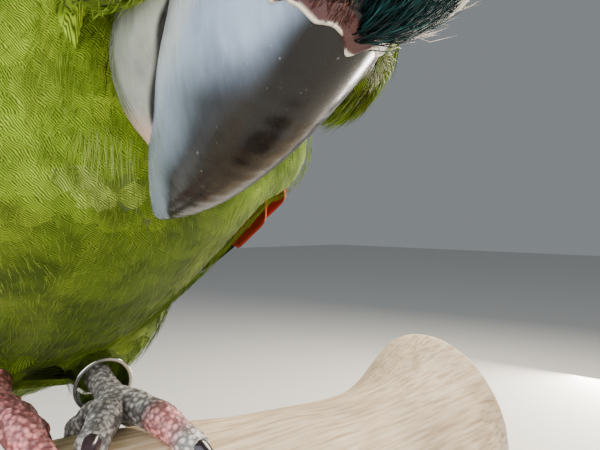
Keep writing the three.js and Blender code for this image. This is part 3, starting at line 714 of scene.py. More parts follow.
def skinMaterial():
    # living skin, thin and matt: fine wrinkles where it is bare
    material, tree, shader = newMaterial("bare bird skin")
    tone = markingsOf(tree)
    fine = noiseFor(tree, 1.2, 5)
    shade = ramp(tree, fine, [(0.3, 0.72), (0.7, 1.0)])
    toned(tree, shader, tone, shade)
    setShader(shader, {"Roughness": 0.55})
    bumped(tree, shader, noiseFor(tree, 0.7, 3), 0.25, 0.6)
    return material


# painted shade: under the feathers the skin is painted darker, so that a gap in the coat looks deep
skinTones = markings(pointsOf(skin) / mm)
bareHere = np.maximum(bareFace(pointsOf(skin) / mm), bareLore(pointsOf(skin) / mm))
paint(skin, skinTones * lerp(skinShape["underCoatShade"], 1, rise(bareHere, 0, 0.3))[:, None])
finished(skin, skinMaterial(), "plumage", "torso", "neck", "head", "thigh_left", "thigh_right")
print("skin is painted")

# bill

bill = {
    "chord": 43, "height": 16, "slope": (37, 77), "halfWidth": 10.2, "lowerHalfWidth": 13.2,
    "gape": (-9, -6.5), "bend": (1, -11), "notch": (1.6, 0.6, 0.09), "roofPart": 0.75,
    "growthRidge": 0.05, "chips": 0.35,
    # the share of its length at which the upper horn starts, inside the head
    "start": -0.12,
}


def culmen(share):
    first, last = (math.radians(angle) for angle in bill["slope"])
    radius = bill["chord"] / (2 * math.sin((last - first) / 2))
    slope = lerp(first, last, share)
    forward = radius * (np.sin(slope) - math.sin(first))
    return forward, bill["height"] + radius * (np.cos(slope) - math.cos(first))


def cuttingEdge(share):
    tipForward, tipUp = culmen(1.0)
    s = np.clip(share, 0, 1)
    weights = (1 - s) ** 2, 2 * s * (1 - s), s**2
    deep, place, spread = bill["notch"]
    forward = weights[0] * bill["gape"][0] + weights[1] * bill["bend"][0] + weights[2] * tipForward
    up = weights[0] * bill["gape"][1] + weights[1] * bill["bend"][1] + weights[2] * tipUp
    return forward, up + deep * hump(s, place, spread)


def upperBillShape(detail=True):
    def place(u, v):
        share = lerp(bill["start"], 1, v)
        ridgeForward, ridgeUp = culmen(share)
        edgeForward, edgeUp = cuttingEdge(share)
        swell = np.clip(np.where(v < 0.5, v, 1 - v) / 0.03, 0, 1)
        roofPart = bill["roofPart"]
        roof = u <= roofPart + 1e-6
        sweep = np.where(roof, u / roofPart, 1 - (u - roofPart) / (1 - roofPart))
        angle = lerp(-np.pi / 2, np.pi / 2, sweep)
        s = np.clip(share, 0, 1)
        side = bill["halfWidth"] * (1 - s**2.3) ** 0.75 * (1 - 0.1 * s)
        across = side * np.where(roof, squared(np.sin(angle), 0.95), lerp(-1, 1, sweep))
        drop = np.where(roof, 1 - np.cos(angle), 1)
        tall = np.maximum(np.hypot(ridgeForward - edgeForward, ridgeUp - edgeUp), 1e-6)
        reach = tall / 2
        lift = lerp(reach, -reach, drop)
        if detail:
            # growth lines run across the horn, and the cutting edge is chipped in places
            strength = lumps(np.stack([share * 9, angle, u * 0], -1), 1.0, 3)
            lines = np.sin(share * 95 + 2.2 * np.sin(angle * 2)) * strength
            lift = lift + bill["growthRidge"] * lines * roof
            chip = np.clip(lumps(np.stack([share * 26, np.sign(angle) * 2, u * 0], -1), 1.0, 4) - 0.35, 0, 1)
            lift = lift + bill["chips"] * chip * np.clip(drop - 0.93, 0, 0.07) / 0.07 * roof
        lift = lift * swell
        outForward, outUp = (ridgeForward - edgeForward) / tall, (ridgeUp - edgeUp) / tall
        return headPoint(
            (ridgeForward + edgeForward) / 2 + outForward * lift,
            across * swell,
            (ridgeUp + edgeUp) / 2 + outUp * lift,
        )

    return place


# forward, top, bottom, share of the full half width
lowerSections = smoothLine([
    (-12, -10, -14, 0.23), (-9, -5, -24, 0.92), (-3, -5, -27.4, 1), (3, -8, -27, 0.95),
    (9, -10, -23, 0.73), (12.6, -12, -18, 0.45), (13.6, -13.6, -15.5, 0.33),
])


def lowerBillShape(u, v):
    row = lowerSections(v)
    forward, top, bottom, side = (row[..., k] for k in range(4))
    turn = u * 2 * np.pi
    swell = np.clip(np.minimum(v, 1 - v) / 0.05, 0, 1)
    flakes = 0.09 * lumps(np.stack([forward * 0.2, np.cos(turn) * 2, np.sin(turn) * 9], -1), 1.0, 5)
    tall = squared(np.sin(turn), 0.8) * ((top - bottom) / 2 + flakes) * swell
    out = squared(np.cos(turn), 0.8) * (side * bill["lowerHalfWidth"] + flakes) * swell
    return headPoint(forward, out, (top + bottom) / 2 + tall)


def hornMaterial(name, stops, lineTurn, patchTone):
    # keratin: polished by use, layered, over the painted markings: on the upper horn a painted grey sky
    # reflection over black horn
    material, tree, shader = newMaterial(name)
    hornWithPaintedLight = markingsOf(tree)
    where = objectSpace(tree)
    layers = noiseFor(tree, 5.5, 6, vector=where)
    streak = addNode(
        tree, "ShaderNodeMapping", {"Rotation": lineTurn, "Scale": (1, 1, 0.16)}, {"Vector": where}
    ).outputs[0]
    lines = noiseFor(tree, 1.1, 6, vector=streak)
    both = maths(tree, "ADD", maths(tree, "MULTIPLY", layers, 0.65), maths(tree, "MULTIPLY", lines, 0.35))
    tone = mixed(tree, 1.0, hornWithPaintedLight, ramp(tree, both, stops), "MULTIPLY")
    specks = ramp(tree, noiseFor(tree, 0.8, 3, vector=where), [(0.7, 0.0), (0.8, 0.6)])
    tone = mixed(tree, specks, tone, colour(patchTone))
    tree.links.new(tone, shader.inputs["Base Color"])
    rough = ramp(tree, lines, [(0.35, 0.2), (0.7, 0.33)])
    tree.links.new(rough, shader.inputs["Roughness"])
    setShader(shader, {"IOR": 1.36, "Coat Weight": 0.08, "Coat Roughness": 0.12})
    bumped(tree, shader, lines, 0.06, 0.5)
    return material


billTones = {
    # across the upper horn from its ridge to its edge: black horn, a painted grey sky reflection, a painted
    # highlight at the edge, and near-black for painted shadow in the gap and for cracks
    "ridge": linear("#24221f"), "band": linear("#181412"), "hornWithPaintedLight": linear("#98a8bf"),
    "edge": linear("#c6cbcb"), "crackAndGapShadow": linear("#0d0a09"),
    # the lower horn, its pink tip and the pale edges of its flakes
    "lower": linear("#93988f"), "lowerDark": linear("#85857d"), "tip": linear("#dcb4a4"),
    "flake": linear("#efeae2"),
}


def upperBillTones(points):
    # black horn with a brown cast, and a painted blue-grey sky reflection on its right side
    forward, left, up = inHead(points)
    along = np.clip((forward + 2) / 24, 0, 1)
    half = bill["halfWidth"] * (1 - along**2.3) ** 0.75 * (1 - 0.1 * along) + 0.05
    across = -left / half + 0.09 * lumps(points, 7, 11)
    tone = np.tile(billTones["band"], (len(points), 1))
    tone = blended(tone, billTones["ridge"], rise(-across, -0.1, 0.15) * (1 - rise(forward, 2, 8)))
    tone = blended(tone, billTones["hornWithPaintedLight"], rise(across, 0.36 + 0.24 * along, 0.62 + 0.26 * along))
    # the painted reflection fades back to dark horn towards the tip
    reflectionFade = rise(forward, 0, 7) * (1 - rise(across, 0.62, 0.94)) * 0.9 + rise(forward, 8, 17) * 0.45
    tone = blended(tone, billTones["ridge"], np.clip(reflectionFade, 0, 0.95) * rise(across, 0.2, 0.4))
    # painted highlight: a pale strip along the cutting edge on the reflecting side, fading towards the tip
    tone = blended(tone, billTones["edge"], rise(across, 0.8, 0.92) * lerp(0.75, 0.1, rise(forward, 8, 18)))
    # painted shadow along the cutting edge, in the gap where the upper horn meets the lower
    edgeForward, edgeUp = cuttingEdge(np.linspace(0, 0.8, 60))
    above = up - np.interp(forward, edgeForward, edgeUp)
    return blended(tone, billTones["crackAndGapShadow"], (1 - rise(above, 0.1, 0.3)) * (forward < 12) * 0.95)


def lowerBillTones(points):
    forward, _, up = inHead(points)
    patch = lumps(points * [1, 1, 0.5], 6, 12)
    tone = np.tile(billTones["lower"], (len(points), 1))
    tone = blended(tone, billTones["lowerDark"], np.clip(0.3 + patch, 0, 1) * 0.5)
    # painted light: the lower horn is brighter towards its root, against the shade of the cheek feathers
    tone = tone * (1.5 - 0.5 * rise(forward, -4, 4))[:, None]
    flaking = rise(-up, 12.5, 15.5) * (0.5 + 0.5 * np.sin(up * 9 + 2 * lumps(points, 4, 13)))
    tone = blended(tone, billTones["lowerDark"], flaking * 0.75)
    outer = -up + 0.4 * (forward - 8)
    cracks = rise(outer, 13.4, 14.8) * (0.5 + 0.5 * np.sin(outer * 9 + 2 * lumps(points, 3, 14)))
    tone = blended(tone, billTones["crackAndGapShadow"], cracks * 0.75)
    tone = blended(tone, billTones["flake"], hump(up + 0.05 * forward, -22.5, 0.8) * rise(forward, 0, 6))
    tone = blended(tone, billTones["tip"], rise(forward, 8, 12.5) * 0.75)
    # painted shadow in the line in which the two halves meet
    seam = up + 9.3 + 0.25 * forward - 0.85 * (1 - rise(forward, -6, 7))
    return blended(tone, billTones["crackAndGapShadow"], rise(seam, -0.32, 0.08))


def makeBill():
    upper = shaped("upper_bill", 128, 130, upperBillShape())
    smoothed(upper, 38)
    horn = hornMaterial(
        "black horn with painted sky reflection", [(0.3, 0.62), (0.5, 0.9), (0.68, 1.0)], (0.6, 0.3, 0.2), "#a9a6a2"
    )
    paint(upper, upperBillTones(pointsOf(upper) / mm))
    finished(upper, horn, "bill", "upper_mandible")
    lower = shaped("lower_bill", 240, 120, lowerBillShape)
    pale = hornMaterial(
        "flaking grey horn", [(0.3, 0.6), (0.5, 0.85), (0.7, 1.0)], (0.2, 0.5, 0.1), "#d8cfc6"
    )
    paint(lower, lowerBillTones(pointsOf(lower) / mm))
    finished(lower, pale, "bill", "lower_mandible")


makeBill()
print("bill is made")

# cere

cereShape = {
    # how far its middle lies ahead of the feathers, its half width, and how far it stands out
    "middle": 0.45, "half": 1.05, "flat": 0.14,
    # the rolled front edge: how much further it stands out, its place and its width
    "roll": 0.26, "rollAt": 0.78, "rollWide": 0.17,
    "pointsAcross": 180, "pointsRound": 32,
    "edgeTone": "#e6dbc4",
}


def solidTree(name):
    # a CAD node as one closed surface, for measuring against
    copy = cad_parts[name].copy()
    copy.data = copy.data.copy()
    bpy.context.scene.collection.objects.link(copy)
    copy.hide_viewport = False
    copy.hide_set(False)
    onlyActive(copy)
    bpy.ops.object.mode_set(mode="EDIT")
    bpy.ops.mesh.select_all(action="SELECT")
    bpy.ops.mesh.remove_doubles(threshold=1e-6)
    bpy.ops.object.mode_set(mode="OBJECT")
    tree = treeOf(copy)
    bpy.data.objects.remove(copy)
    return tree


def isInside(tree, point):
    place, normal, _, _ = tree.find_nearest(point)
    return (Vector(point) - place).dot(normal) < 0


def makeCere():
    # a rolled band that follows the line where the horn leaves the feathers
    headTree = solidTree("head")
    surface = upperBillShape(detail=False)
    count = cereShape["pointsAcross"]
    middle = []
    for i in range(count + 1):
        u = np.full(160, bill["roofPart"] * i / count)
        v = np.linspace(0.03, 0.6, 160)
        line = surface(u, v)
        inside = [isInside(headTree, point) for point in line]
        last = max((k for k, value in enumerate(inside) if value), default=0)
        last = min(last, 150)
        middle.append((line[last], unit(line[last + 4] - line[last])))
    at = np.array([m[0] for m in middle])
    ahead = np.array([m[1] for m in middle])
    for _ in range(3):
        at[1:-1] = (at[:-2] + 2 * at[1:-1] + at[2:]) / 4
        ahead[1:-1] = (ahead[:-2] + 2 * ahead[1:-1] + ahead[2:]) / 4
    along = np.gradient(at, axis=0)
    outward = unit(np.cross(along, ahead))
    centre = headPoint(-2, 0, 3)
    outward *= np.sign(((at - centre) * outward).sum(1).mean())
    place = at + ahead * cereShape["middle"]

    def band(u, v):
        index = np.clip(np.round(v * count).astype(int), 0, count)
        turn = u * 2 * np.pi
        ends = np.sqrt(np.clip(np.minimum(v, 1 - v) / 0.04, 0, 1))
        rolled = cereShape["roll"] * hump(np.cos(turn), cereShape["rollAt"], cereShape["rollWide"])
        proud = (cereShape["flat"] + rolled * (np.sin(turn) > 0)) * np.sin(turn)
        return (
            place[index] + ahead[index] * (np.cos(turn) * cereShape["half"] * ends)[:, None]
            + outward[index] * (proud * ends)[:, None]
        )

    cere = shaped("cere_band", cereShape["pointsRound"], count, band)
    start = pointsOf(cere) / mm
    nearest = np.array([np.argmin(((place - point) ** 2).sum(1)) for point in start])
    frontward = ((start - place[nearest]) * ahead[nearest]).sum(1) / cereShape["half"]
    tones = np.tile(plumage["chestnut"], (len(start), 1))
    paint(cere, blended(tones, linear(cereShape["edgeTone"]), rise(frontward, 0.5, 0.66)))
    material, tree, shader = newMaterial("pale cere skin")  # waxy, a little wrinkled
    tone = markingsOf(tree)
    shade = ramp(tree, noiseFor(tree, 1.2, 4), [(0.35, 0.78), (0.65, 1.0)])
    toned(tree, shader, tone, shade)
    setShader(shader, {"Roughness": 0.5})
    bumped(tree, shader, noiseFor(tree, 0.5, 3), 0.12, 0.6)
    finished(cere, material, "cere_skin", "cere")


makeCere()
print("cere is made")

# eyes and lids

eyeShape = {
    "radius": 5.2, "forward": -17, "up": 7.5, "out": 14.2,
    # the pupil's and the iris's rims as shares of the radius
    "pupil": 0.34, "iris": 0.62, "irisEnd": 0.66,
    # the ring of the lids: radius, half width, how far out it lies and how tall it is to its length
    "lid": 4.4, "lidWidth": 1.0, "lidOut": 2.9, "lidTall": 0.93,
    "black": "#0b0908", "amber": "#c98a1c", "lidTone": "#d9cfc4",
}


def makeEye(side, name):
    sphere = bpy.ops.mesh.primitive_uv_sphere_add
    eye = added(sphere, "eyeball_" + name, segments=64, ring_count=48, radius=1)
    ball = pointsOf(eye)
    bulge = 1 + 0.05 * rise(ball[:, 2], 0.72, 0.9)  # the cornea stands out a little
    ball = ball * bulge[:, None] * eyeShape["radius"] * 0.985
    tones = np.tile(linear(eyeShape["black"]), (len(ball), 1))
    reach = np.hypot(ball[:, 0], ball[:, 1]) / eyeShape["radius"]
    iris = rise(reach, eyeShape["pupil"], eyeShape["pupil"] + 0.03)
    iris = iris * (1 - rise(reach, eyeShape["iris"], eyeShape["irisEnd"]))
    paint(eye, blended(tones, linear(eyeShape["amber"]), iris * (ball[:, 2] > 0)))
    place = headPoint(
        eyeShape["forward"] + ball[:, 0],
        side * (eyeShape["out"] + ball[:, 2]),
        eyeShape["up"] + ball[:, 1],
    )
    setPoints(eye, place * mm)
    outwards(eye)
    bpy.ops.object.shade_smooth()
    material, tree, shader = newMaterial("wet eye")  # a clear bright surface over the iris
    tone = markingsOf(tree)
    flecks = ramp(tree, noiseFor(tree, 0.5, 3), [(0.3, 0.75), (0.7, 1.0)])
    toned(tree, shader, tone, flecks)
    setShader(shader, {"Roughness": 0.06, "Coat Weight": 1.0})
    finished(eye, material, "eye", "eye_" + name)

    def lid(u, v):
        # a ring of bare skin with folds, open in the middle
        turn = v * 2 * np.pi
        across = u * 2 * np.pi
        folds = 1 + 0.06 * np.sin(turn * 23) + 0.05 * np.sin(turn * 37 + 1)
        ring = eyeShape["lid"] + np.cos(across) * eyeShape["lidWidth"] * folds
        return headPoint(
            eyeShape["forward"] + np.cos(turn) * ring,
            side * (eyeShape["out"] + eyeShape["lidOut"] + np.sin(across) - 0.35 * (ring - 4)),
            eyeShape["up"] + np.sin(turn) * ring * eyeShape["lidTall"],
        )

    torus = bpy.ops.mesh.primitive_torus_add
    parts = {"major_segments": 96, "minor_segments": 24, "major_radius": 1, "minor_radius": 0.3}
    lids = added(torus, "lids_" + name, **parts)
    start = pointsOf(lids)
    turn = np.arctan2(start[:, 1], start[:, 0]) / (2 * np.pi) % 1
    across = np.arctan2(start[:, 2], np.hypot(start[:, 0], start[:, 1]) - 1) / (2 * np.pi) % 1
    setPoints(lids, lid(across, turn) * mm)
    outwards(lids)
    bpy.ops.object.shade_smooth()
    paint(lids, np.tile(linear(eyeShape["lidTone"]), (len(start), 1)))
    finished(lids, skin.data.materials[0], "head_plumage")


for foot in feet:
    makeEye(foot["side"], foot["name"])
print("eyes are made")

# feathers


def featherTemplate(along, across, width, tipRound=0.12):
    # one feather: a grid narrowed to its outline, closed by a strip underneath
    make = bpy.ops.mesh.primitive_grid_add
    sheet = added(make, "sheet", x_subdivisions=along, y_subdivisions=across, size=2)
    grid = pointsOf(sheet)
    bpy.data.objects.remove(sheet)
    order = np.lexsort((np.round(grid[:, 1], 4), np.round(grid[:, 0], 4)))
    grid = grid[order]
    columns = across + 1
    rows = len(grid) // columns
    share, side = (grid[:, 0] + 1) / 2, grid[:, 1]
    quads = [
        (i * columns + j, (i + 1) * columns + j, (i + 1) * columns + j + 1, i * columns + j + 1)
        for i in range(rows - 1)
        for j in range(across)
    ]
    under = [
        ((i + 1) * columns, i * columns, i * columns + across, (i + 1) * columns + across)
        for i in range(rows - 1)
    ]
    root = tuple(range(columns))
    tip = tuple((rows - 1) * columns + j for j in range(across, -1, -1))
    wide = np.interp(share, *zip(*width))
    return {
        "share": share - tipRound * side**2 * share**3, "row": share, "side": side, "wide": wide,
        "faces": quads + under + [root, tip], "topFaces": len(quads),
    }


def combGuides():
    # which way the coat lies, read off the body's and the head's own shape
    circle = np.linspace(0, 2 * np.pi, 40, endpoint=False)
    share, turn = (values.ravel() for values in np.meshgrid(np.linspace(0.03, 0.66, 46), circle))
    places = [bodySurface(share, turn)]
    ways = [unit(bodySurface(share - 0.01, turn) - bodySurface(share + 0.01, turn))]
    share, turn = (values.ravel() for values in np.meshgrid(np.linspace(0.05, 0.97, 40), circle))
    at = headSurface(share, turn)
    forward, left, up = inHead(at)
    back = headPoint(forward - 1, left, up) - at
    ahead = headPoint(forward + 1, left * 1.01, up - 0.3) - at
    chin = rise(-up, 5, 12) * rise(forward, -24, -12)
    places.append(at)
    ways.append(unit(lerp(back, ahead, chin[:, None])))
    for foot in feet:
        u, v = np.meshgrid(np.linspace(0, 1, 14, endpoint=False), np.linspace(0.1, 0.95, 12))
        u, v = u.ravel(), v.ravel()
        shape = thighShape(foot)
        places.append(shape(u, v))
        ways.append(unit(shape(u, np.minimum(v + 0.02, 0.98)) - shape(u, v - 0.02)))
        at = shoulderShape(foot["side"])(u, v)
        places.append(at)
        ways.append(np.tile(unit(birdPoint(0, -0.8, -0.6) - birdPoint(0, 0, 0)), (len(at), 1)))
        shape = cheekShape(foot["side"])
        at = shape(u, v)
        forward, left, up = inHead(at)
        places.append(at)
        ways.append(unit(headPoint(forward + 1, left, up - 0.8) - at))
    places, ways = np.vstack(places), np.vstack(ways)
    onOutside = np.array([skinTree.find_nearest(point)[3] < 2.6 for point in places])
    return places[onOutside], ways[onOutside]


guidePlaces, guideWays = combGuides()
guideTree = nearTree(guidePlaces)
combing = {"neighbours": 26, "softness": 6}


def lieAt(points, normals):
    # the combing direction at each point, taken from the guides round it
    ways = np.empty_like(points)
    for i, point in enumerate(points):
        near = guideTree.find_n(point, combing["neighbours"])
        weights = np.array([1 / (combing["softness"] + n[2] ** 2) for n in near])
        ways[i] = (guideWays[[n[1] for n in near]] * weights[:, None]).sum(0)
    ways -= normals * (ways * normals).sum(1)[:, None]
    return unit(ways)


def skinSamples(count):
    # random points, evenly spread over the skin, and its normals there
    skin.data.calc_loop_triangles()
    corners = np.empty(len(skin.data.loop_triangles) * 3, int)
    skin.data.loop_triangles.foreach_get("vertices", corners)
    corners = corners.reshape(-1, 3)
    points, normals = pointsOf(skin) / mm, normalsOf(skin)
    a, b, c = (points[corners[:, k]] for k in range(3))
    area = np.linalg.norm(np.cross(b - a, c - a), axis=1)
    pick = rng.choice(len(corners), count, p=area / area.sum())
    weight = rng.dirichlet((1, 1, 1), count)
    corner = corners[pick]
    place = sum(points[corner[:, k]] * weight[:, k, None] for k in range(3))
    normal = unit(sum(normals[corner[:, k]] * weight[:, k, None] for k in range(3)))
    return place, normal


def spread(points, spacing):
    # keeps points that are at least the spacing apart
    tree = nearTree(points)
    taken = np.zeros(len(points), bool)
    kept = []
    for index, place in enumerate(points):
        if taken[index]:
            continue
        kept.append(index)
        for _, other, _ in tree.find_range(place, spacing):
            taken[other] = True
    return np.array(kept)


def onSkin(points):
    places = np.empty_like(points)
    normals = np.empty_like(points)
    for i, point in enumerate(points):
        place, normal, _, _ = skinTree.find_nearest(point)
        places[i], normals[i] = place, normal
    return places, normals


def unwrapped(points):
    # a place for each root on the bird's own unwrap: round the body, and along it
    forward, left, up = inHead(points)
    isHead = (forward > -44) & (up > -30)
    alongHead = np.clip((forward + 45) / 70, 0, 1)
    turnHead = np.arctan2(up, left) / (2 * np.pi) + 0.5
    height = points[:, 2] - perch["top"]
    ahead = -points[:, 1]
    axis = (ahead + 130) * 0.83 + (height + 30) * 0.55
    alongBody = np.clip(axis / 210, 0, 1)
    midHeight = 66 * np.clip((ahead + 129) / 145, 0, 1.1) - 12
    turnBody = np.arctan2(height - midHeight, points[:, 0]) / (2 * np.pi) + 0.5
    u = np.where(isHead, turnHead, turnBody) * 0.98 + 0.01
    v = np.where(isHead, 0.66 + 0.32 * alongHead, 0.02 + 0.6 * alongBody)
    return np.stack([u, v], -1)


def writeFeathers(name, vertices, template, tones, roots, barbs, underTones=None, facing=None):
    # vertices is feather by point; every feather is its own closed mesh in one piece
    count, size = vertices.shape[:2]
    mesh = bpy.data.meshes.new(name)
    mesh.vertices.add(count * size)
    mesh.vertices.foreach_set("co", (vertices.reshape(-1, 3) * mm).ravel())
    corners = np.array([v for face in template["faces"] for v in face])
    lengths = np.array([len(face) for face in template["faces"]])
    starts = np.concatenate([[0], np.cumsum(lengths)[:-1]])
    loops = (corners[None] + np.arange(count)[:, None] * size).ravel()
    mesh.loops.add(len(loops))
    mesh.loops.foreach_set("vertex_index", loops)
    mesh.polygons.add(count * len(lengths))
    starts = starts[None] + np.arange(count)[:, None] * len(corners)
    mesh.polygons.foreach_set("loop_start", starts.ravel())
    mesh.update(calc_edges=True)
    mesh.polygons.foreach_set("use_smooth", np.ones(count * len(lengths), bool))
    bake = mesh.uv_layers.new(name="OFBake")
    own = np.stack([template["side"][corners], template["row"][corners] * 2 - 1], -1) * 0.0015
    bake.data.foreach_set("uv", (unwrapped(roots)[:, None] + own[None]).ravel())
    pattern = mesh.uv_layers.new(name="barbs")
    pattern.data.foreach_set("uv", barbs[:, corners].ravel())
    layer = mesh.color_attributes.new("markings", "FLOAT_COLOR", "CORNER")
    below = np.concatenate([np.full(n, k >= template["topFaces"]) for k, n in enumerate(lengths)])
    full = np.ones((count, len(corners), 4), np.float32)
    full[..., :3] = tones[:, corners] if tones.ndim == 3 else tones[:, None]
    if underTones is not None:
        full[:, below, :3] = underTones[:, None]
    layer.data.foreach_set("color", full.ravel())
    if facing is not None:
        # feathers are shaded mostly by the body under them, which keeps the coat soft
        turned = facing[:, corners] * np.where(below, -1, 1)[None, :, None]
        mesh.normals_split_custom_set(turned.reshape(-1, 3))
    piece = bpy.data.objects.new(name, mesh)
    bpy.context.scene.collection.objects.link(piece)
    return piece


def swung(roots, normals, ways, shape, bundleSize, seed):
    # neighbours lean the same way, so that the coat lies in soft bundles
    side = np.cross(normals, ways)
    swing = lumps(roots, bundleSize, seed) * math.radians(shape["bundle"])
    swing = swing + rng.normal(0, math.radians(shape["swing"]), len(roots))
    swing = swing[:, None]
    return ways * np.cos(swing) + side * np.sin(swing), side * np.cos(swing) - ways * np.sin(swing)


def plantCoat(name, roots, normals, template, shape, slot, material):
    # lays each feather along the skin from its root, rising towards its tip
    count = len(roots)
    ways, side = swung(roots, normals, lieAt(roots, normals), shape, 11, 21)
    vary = 1 + rng.normal(0, 0.1, count)
    length = shape["length"] * vary
    width = shape["width"] * (1 + rng.normal(0, 0.07, count))
    rows = np.unique(np.round(template["row"], 5))
    order = np.argsort(template["row"])
    wide = np.interp(rows, template["row"][order], template["wide"][order])
    lines = []
    for across in (-1, 0, 1):
        laid = (
            roots[:, None] + ways[:, None] * (rows[None, :, None] * length[:, None, None])
            + side[:, None] * (across * wide[None, :, None] * width[:, None, None] / 2)
        )
        place, normal = onSkin(laid.reshape(-1, 3))
        lines.append((place.reshape(laid.shape), normal.reshape(laid.shape)))
    index = np.searchsorted(rows, np.round(template["row"], 5))
    t = template["side"][None, :, None]
    low, mid, high = (line[0][:, index] for line in lines)
    face = unit(sum(line[1][:, index] for line in lines))
    place = mid + t * (high - low) / 2 + t**2 * ((high + low) / 2 - mid)
    slip = (template["share"] - template["row"])[None, :, None] * length[:, None, None]
    place = place + ways[:, None] * slip
    row = template["row"][None, :]
    # close to the bill the coat lies flatter
    calm = lerp(0.3, 1, rise(np.linalg.norm(roots - headPoint(6, 0, -24), axis=1), 12, 28))
    rising = shape["lift"] * (1 + rng.normal(0, shape["ruffle"], count)) * calm
    lift = rising[:, None] * row**0.8 - shape["sunk"] * (1 - row) ** 2
    across = template["side"][None, :]
    lift = lift - shape["camber"] * across**2 * (0.6 + 0.4 * np.sin(np.pi * row)) + 0.05
    lift = lift + shape["thick"] * (np.abs(across) < 0.99) * (row > 0.01) * (row < 0.99)
    # tips dip under the feathers that follow
    lift = lift - shape.get("tuck", 0) * row**7
    vertices = place + face * lift[..., None]
    barbs = np.stack([
        template["side"][None] * template["wide"][None] * width[:, None] / 2,
        template["share"][None] * length[:, None] + rng.uniform(0, 9, count)[:, None],
    ], -1) * 0.1
    tones = markings(roots)
    if "allGreen" in shape:
        tones[tones[:, 0] > tones[:, 1]] = plumage["olive"]
    tones = tones * (1 + rng.normal(0, shape["tint"], (count, 1)))
    tones = tones[:, None] * np.interp(template["row"], [0, 0.5, 1], shape["fade"])[None, :, None]
    pillow = side[:, None] * template["side"][None, :, None] * shape["pillow"]
    facing = unit(face + pillow + ways[:, None] * (row - 0.45)[..., None] * shape["pillow"])
    piece = writeFeathers(name, vertices, template, np.clip(tones, 0, 1), roots, barbs, facing=facing)
    finished(piece, material, slot)


def featherMaterial(name, spacing, contrast, rough=0.7, slant=1.15, shaft=True):
    # feather: soft and matt, its barbs running out from the shaft; drawn a little wide, to show
    material, tree, shader = newMaterial(name)
    tone = markingsOf(tree)
    uv = addNode(tree, "ShaderNodeUVMap", {"uv_map": "barbs"}).outputs[0]
    parts = addNode(tree, "ShaderNodeSeparateXYZ", links={0: uv})
    out = maths(tree, "ABSOLUTE", parts.outputs[0]) if shaft else parts.outputs[0]
    wave = noiseFor(tree, 1000 * 0.25, 2, vector=uv)
    along = maths(tree, "SUBTRACT", parts.outputs[1], maths(tree, "MULTIPLY", out, slant))
    along = maths(tree, "ADD", along, maths(tree, "MULTIPLY", wave, 0.16))
    stripes = maths(tree, "SINE", maths(tree, "MULTIPLY", along, 2 * math.pi / (spacing * 0.1)))
    stripes = maths(tree, "ADD", maths(tree, "MULTIPLY", stripes, 0.5), 0.5)
    patchy = ramp(tree, noiseFor(tree, 6.0, 3), [(0.35, 0.35), (0.65, 1.0)])
    depth = maths(tree, "MULTIPLY", stripes, patchy)
    shade = ramp(tree, depth, [(0.0, 1 - contrast), (0.75, 1.0)])
    dark = mixed(tree, 1.0, tone, shade, "MULTIPLY")
    bright = mixed(tree, 1.0, tone, (2.1, 2.0, 1.0, 1), "MULTIPLY")
    light = mixed(tree, maths(tree, "MULTIPLY", depth, contrast * 0.5), dark, bright)
    tree.links.new(light, shader.inputs["Base Color"])
    setShader(shader, {
        "Roughness": rough, "Specular IOR Level": 0.12, "Sheen Weight": 0.02, "Sheen Roughness": 0.4,
    })
    bumped(tree, shader, stripes, 0.08, 0.7)
    return material


coatMaterial = featherMaterial("contour feathers", 0.38, 0.85, slant=0.5, shaft=False)
blade = [(0, 0.55), (0.3, 0.9), (0.6, 1.0), (0.8, 0.88), (0.92, 0.66), (1, 0.34)]
softly = {"tint": 0.05, "fade": (0.9, 0.98, 1.03), "pillow": 0.14, "thick": 0.16, "ruffle": 0.1}
coats = {
    "throat": {"length": 10.5, "width": 9.0, "spacing": 2.45, "lift": 0.5, "sunk": 0.6, "camber": 0.3,
               "swing": 3, "bundle": 26, **softly, "thick": 0.08, "ruffle": 0.05, "tuck": 0.65,
               "allGreen": True},
    "head": {"length": 5.6, "width": 4.2, "spacing": 1.5, "lift": 0.6, "sunk": 0.4, "camber": 0.2,
             "swing": 4, "bundle": 10, **softly},
    "breast": {"length": 15, "width": 11, "spacing": 3.8, "lift": 0.8, "sunk": 0.6, "camber": 0.35,
               "swing": 4, "bundle": 12, **softly},
    "back": {"length": 14, "width": 10.5, "spacing": 4.2, "lift": 0.9, "sunk": 0.6, "camber": 0.35,
             "swing": 4, "bundle": 6, **softly},
}


def coatRegions(place):
    # which points lie in front of the branch's middle, on the head, on the chin, on the throat
    # with the chin, and on bare skin
    forward, _, up = inHead(place)
    ahead, height = -place[:, 1], place[:, 2] - perch["top"]
    headward = (forward > -46) & (up > -27) & (forward < 14)
    chin = headward & (up < -4) & (forward > -26)
    throat = (~headward & (ahead > 4) & (height > 28)) | chin
    bare = np.maximum(bareFace(place), bareLore(place)) > 0.4
    return ahead > 0, headward, chin, throat, bare


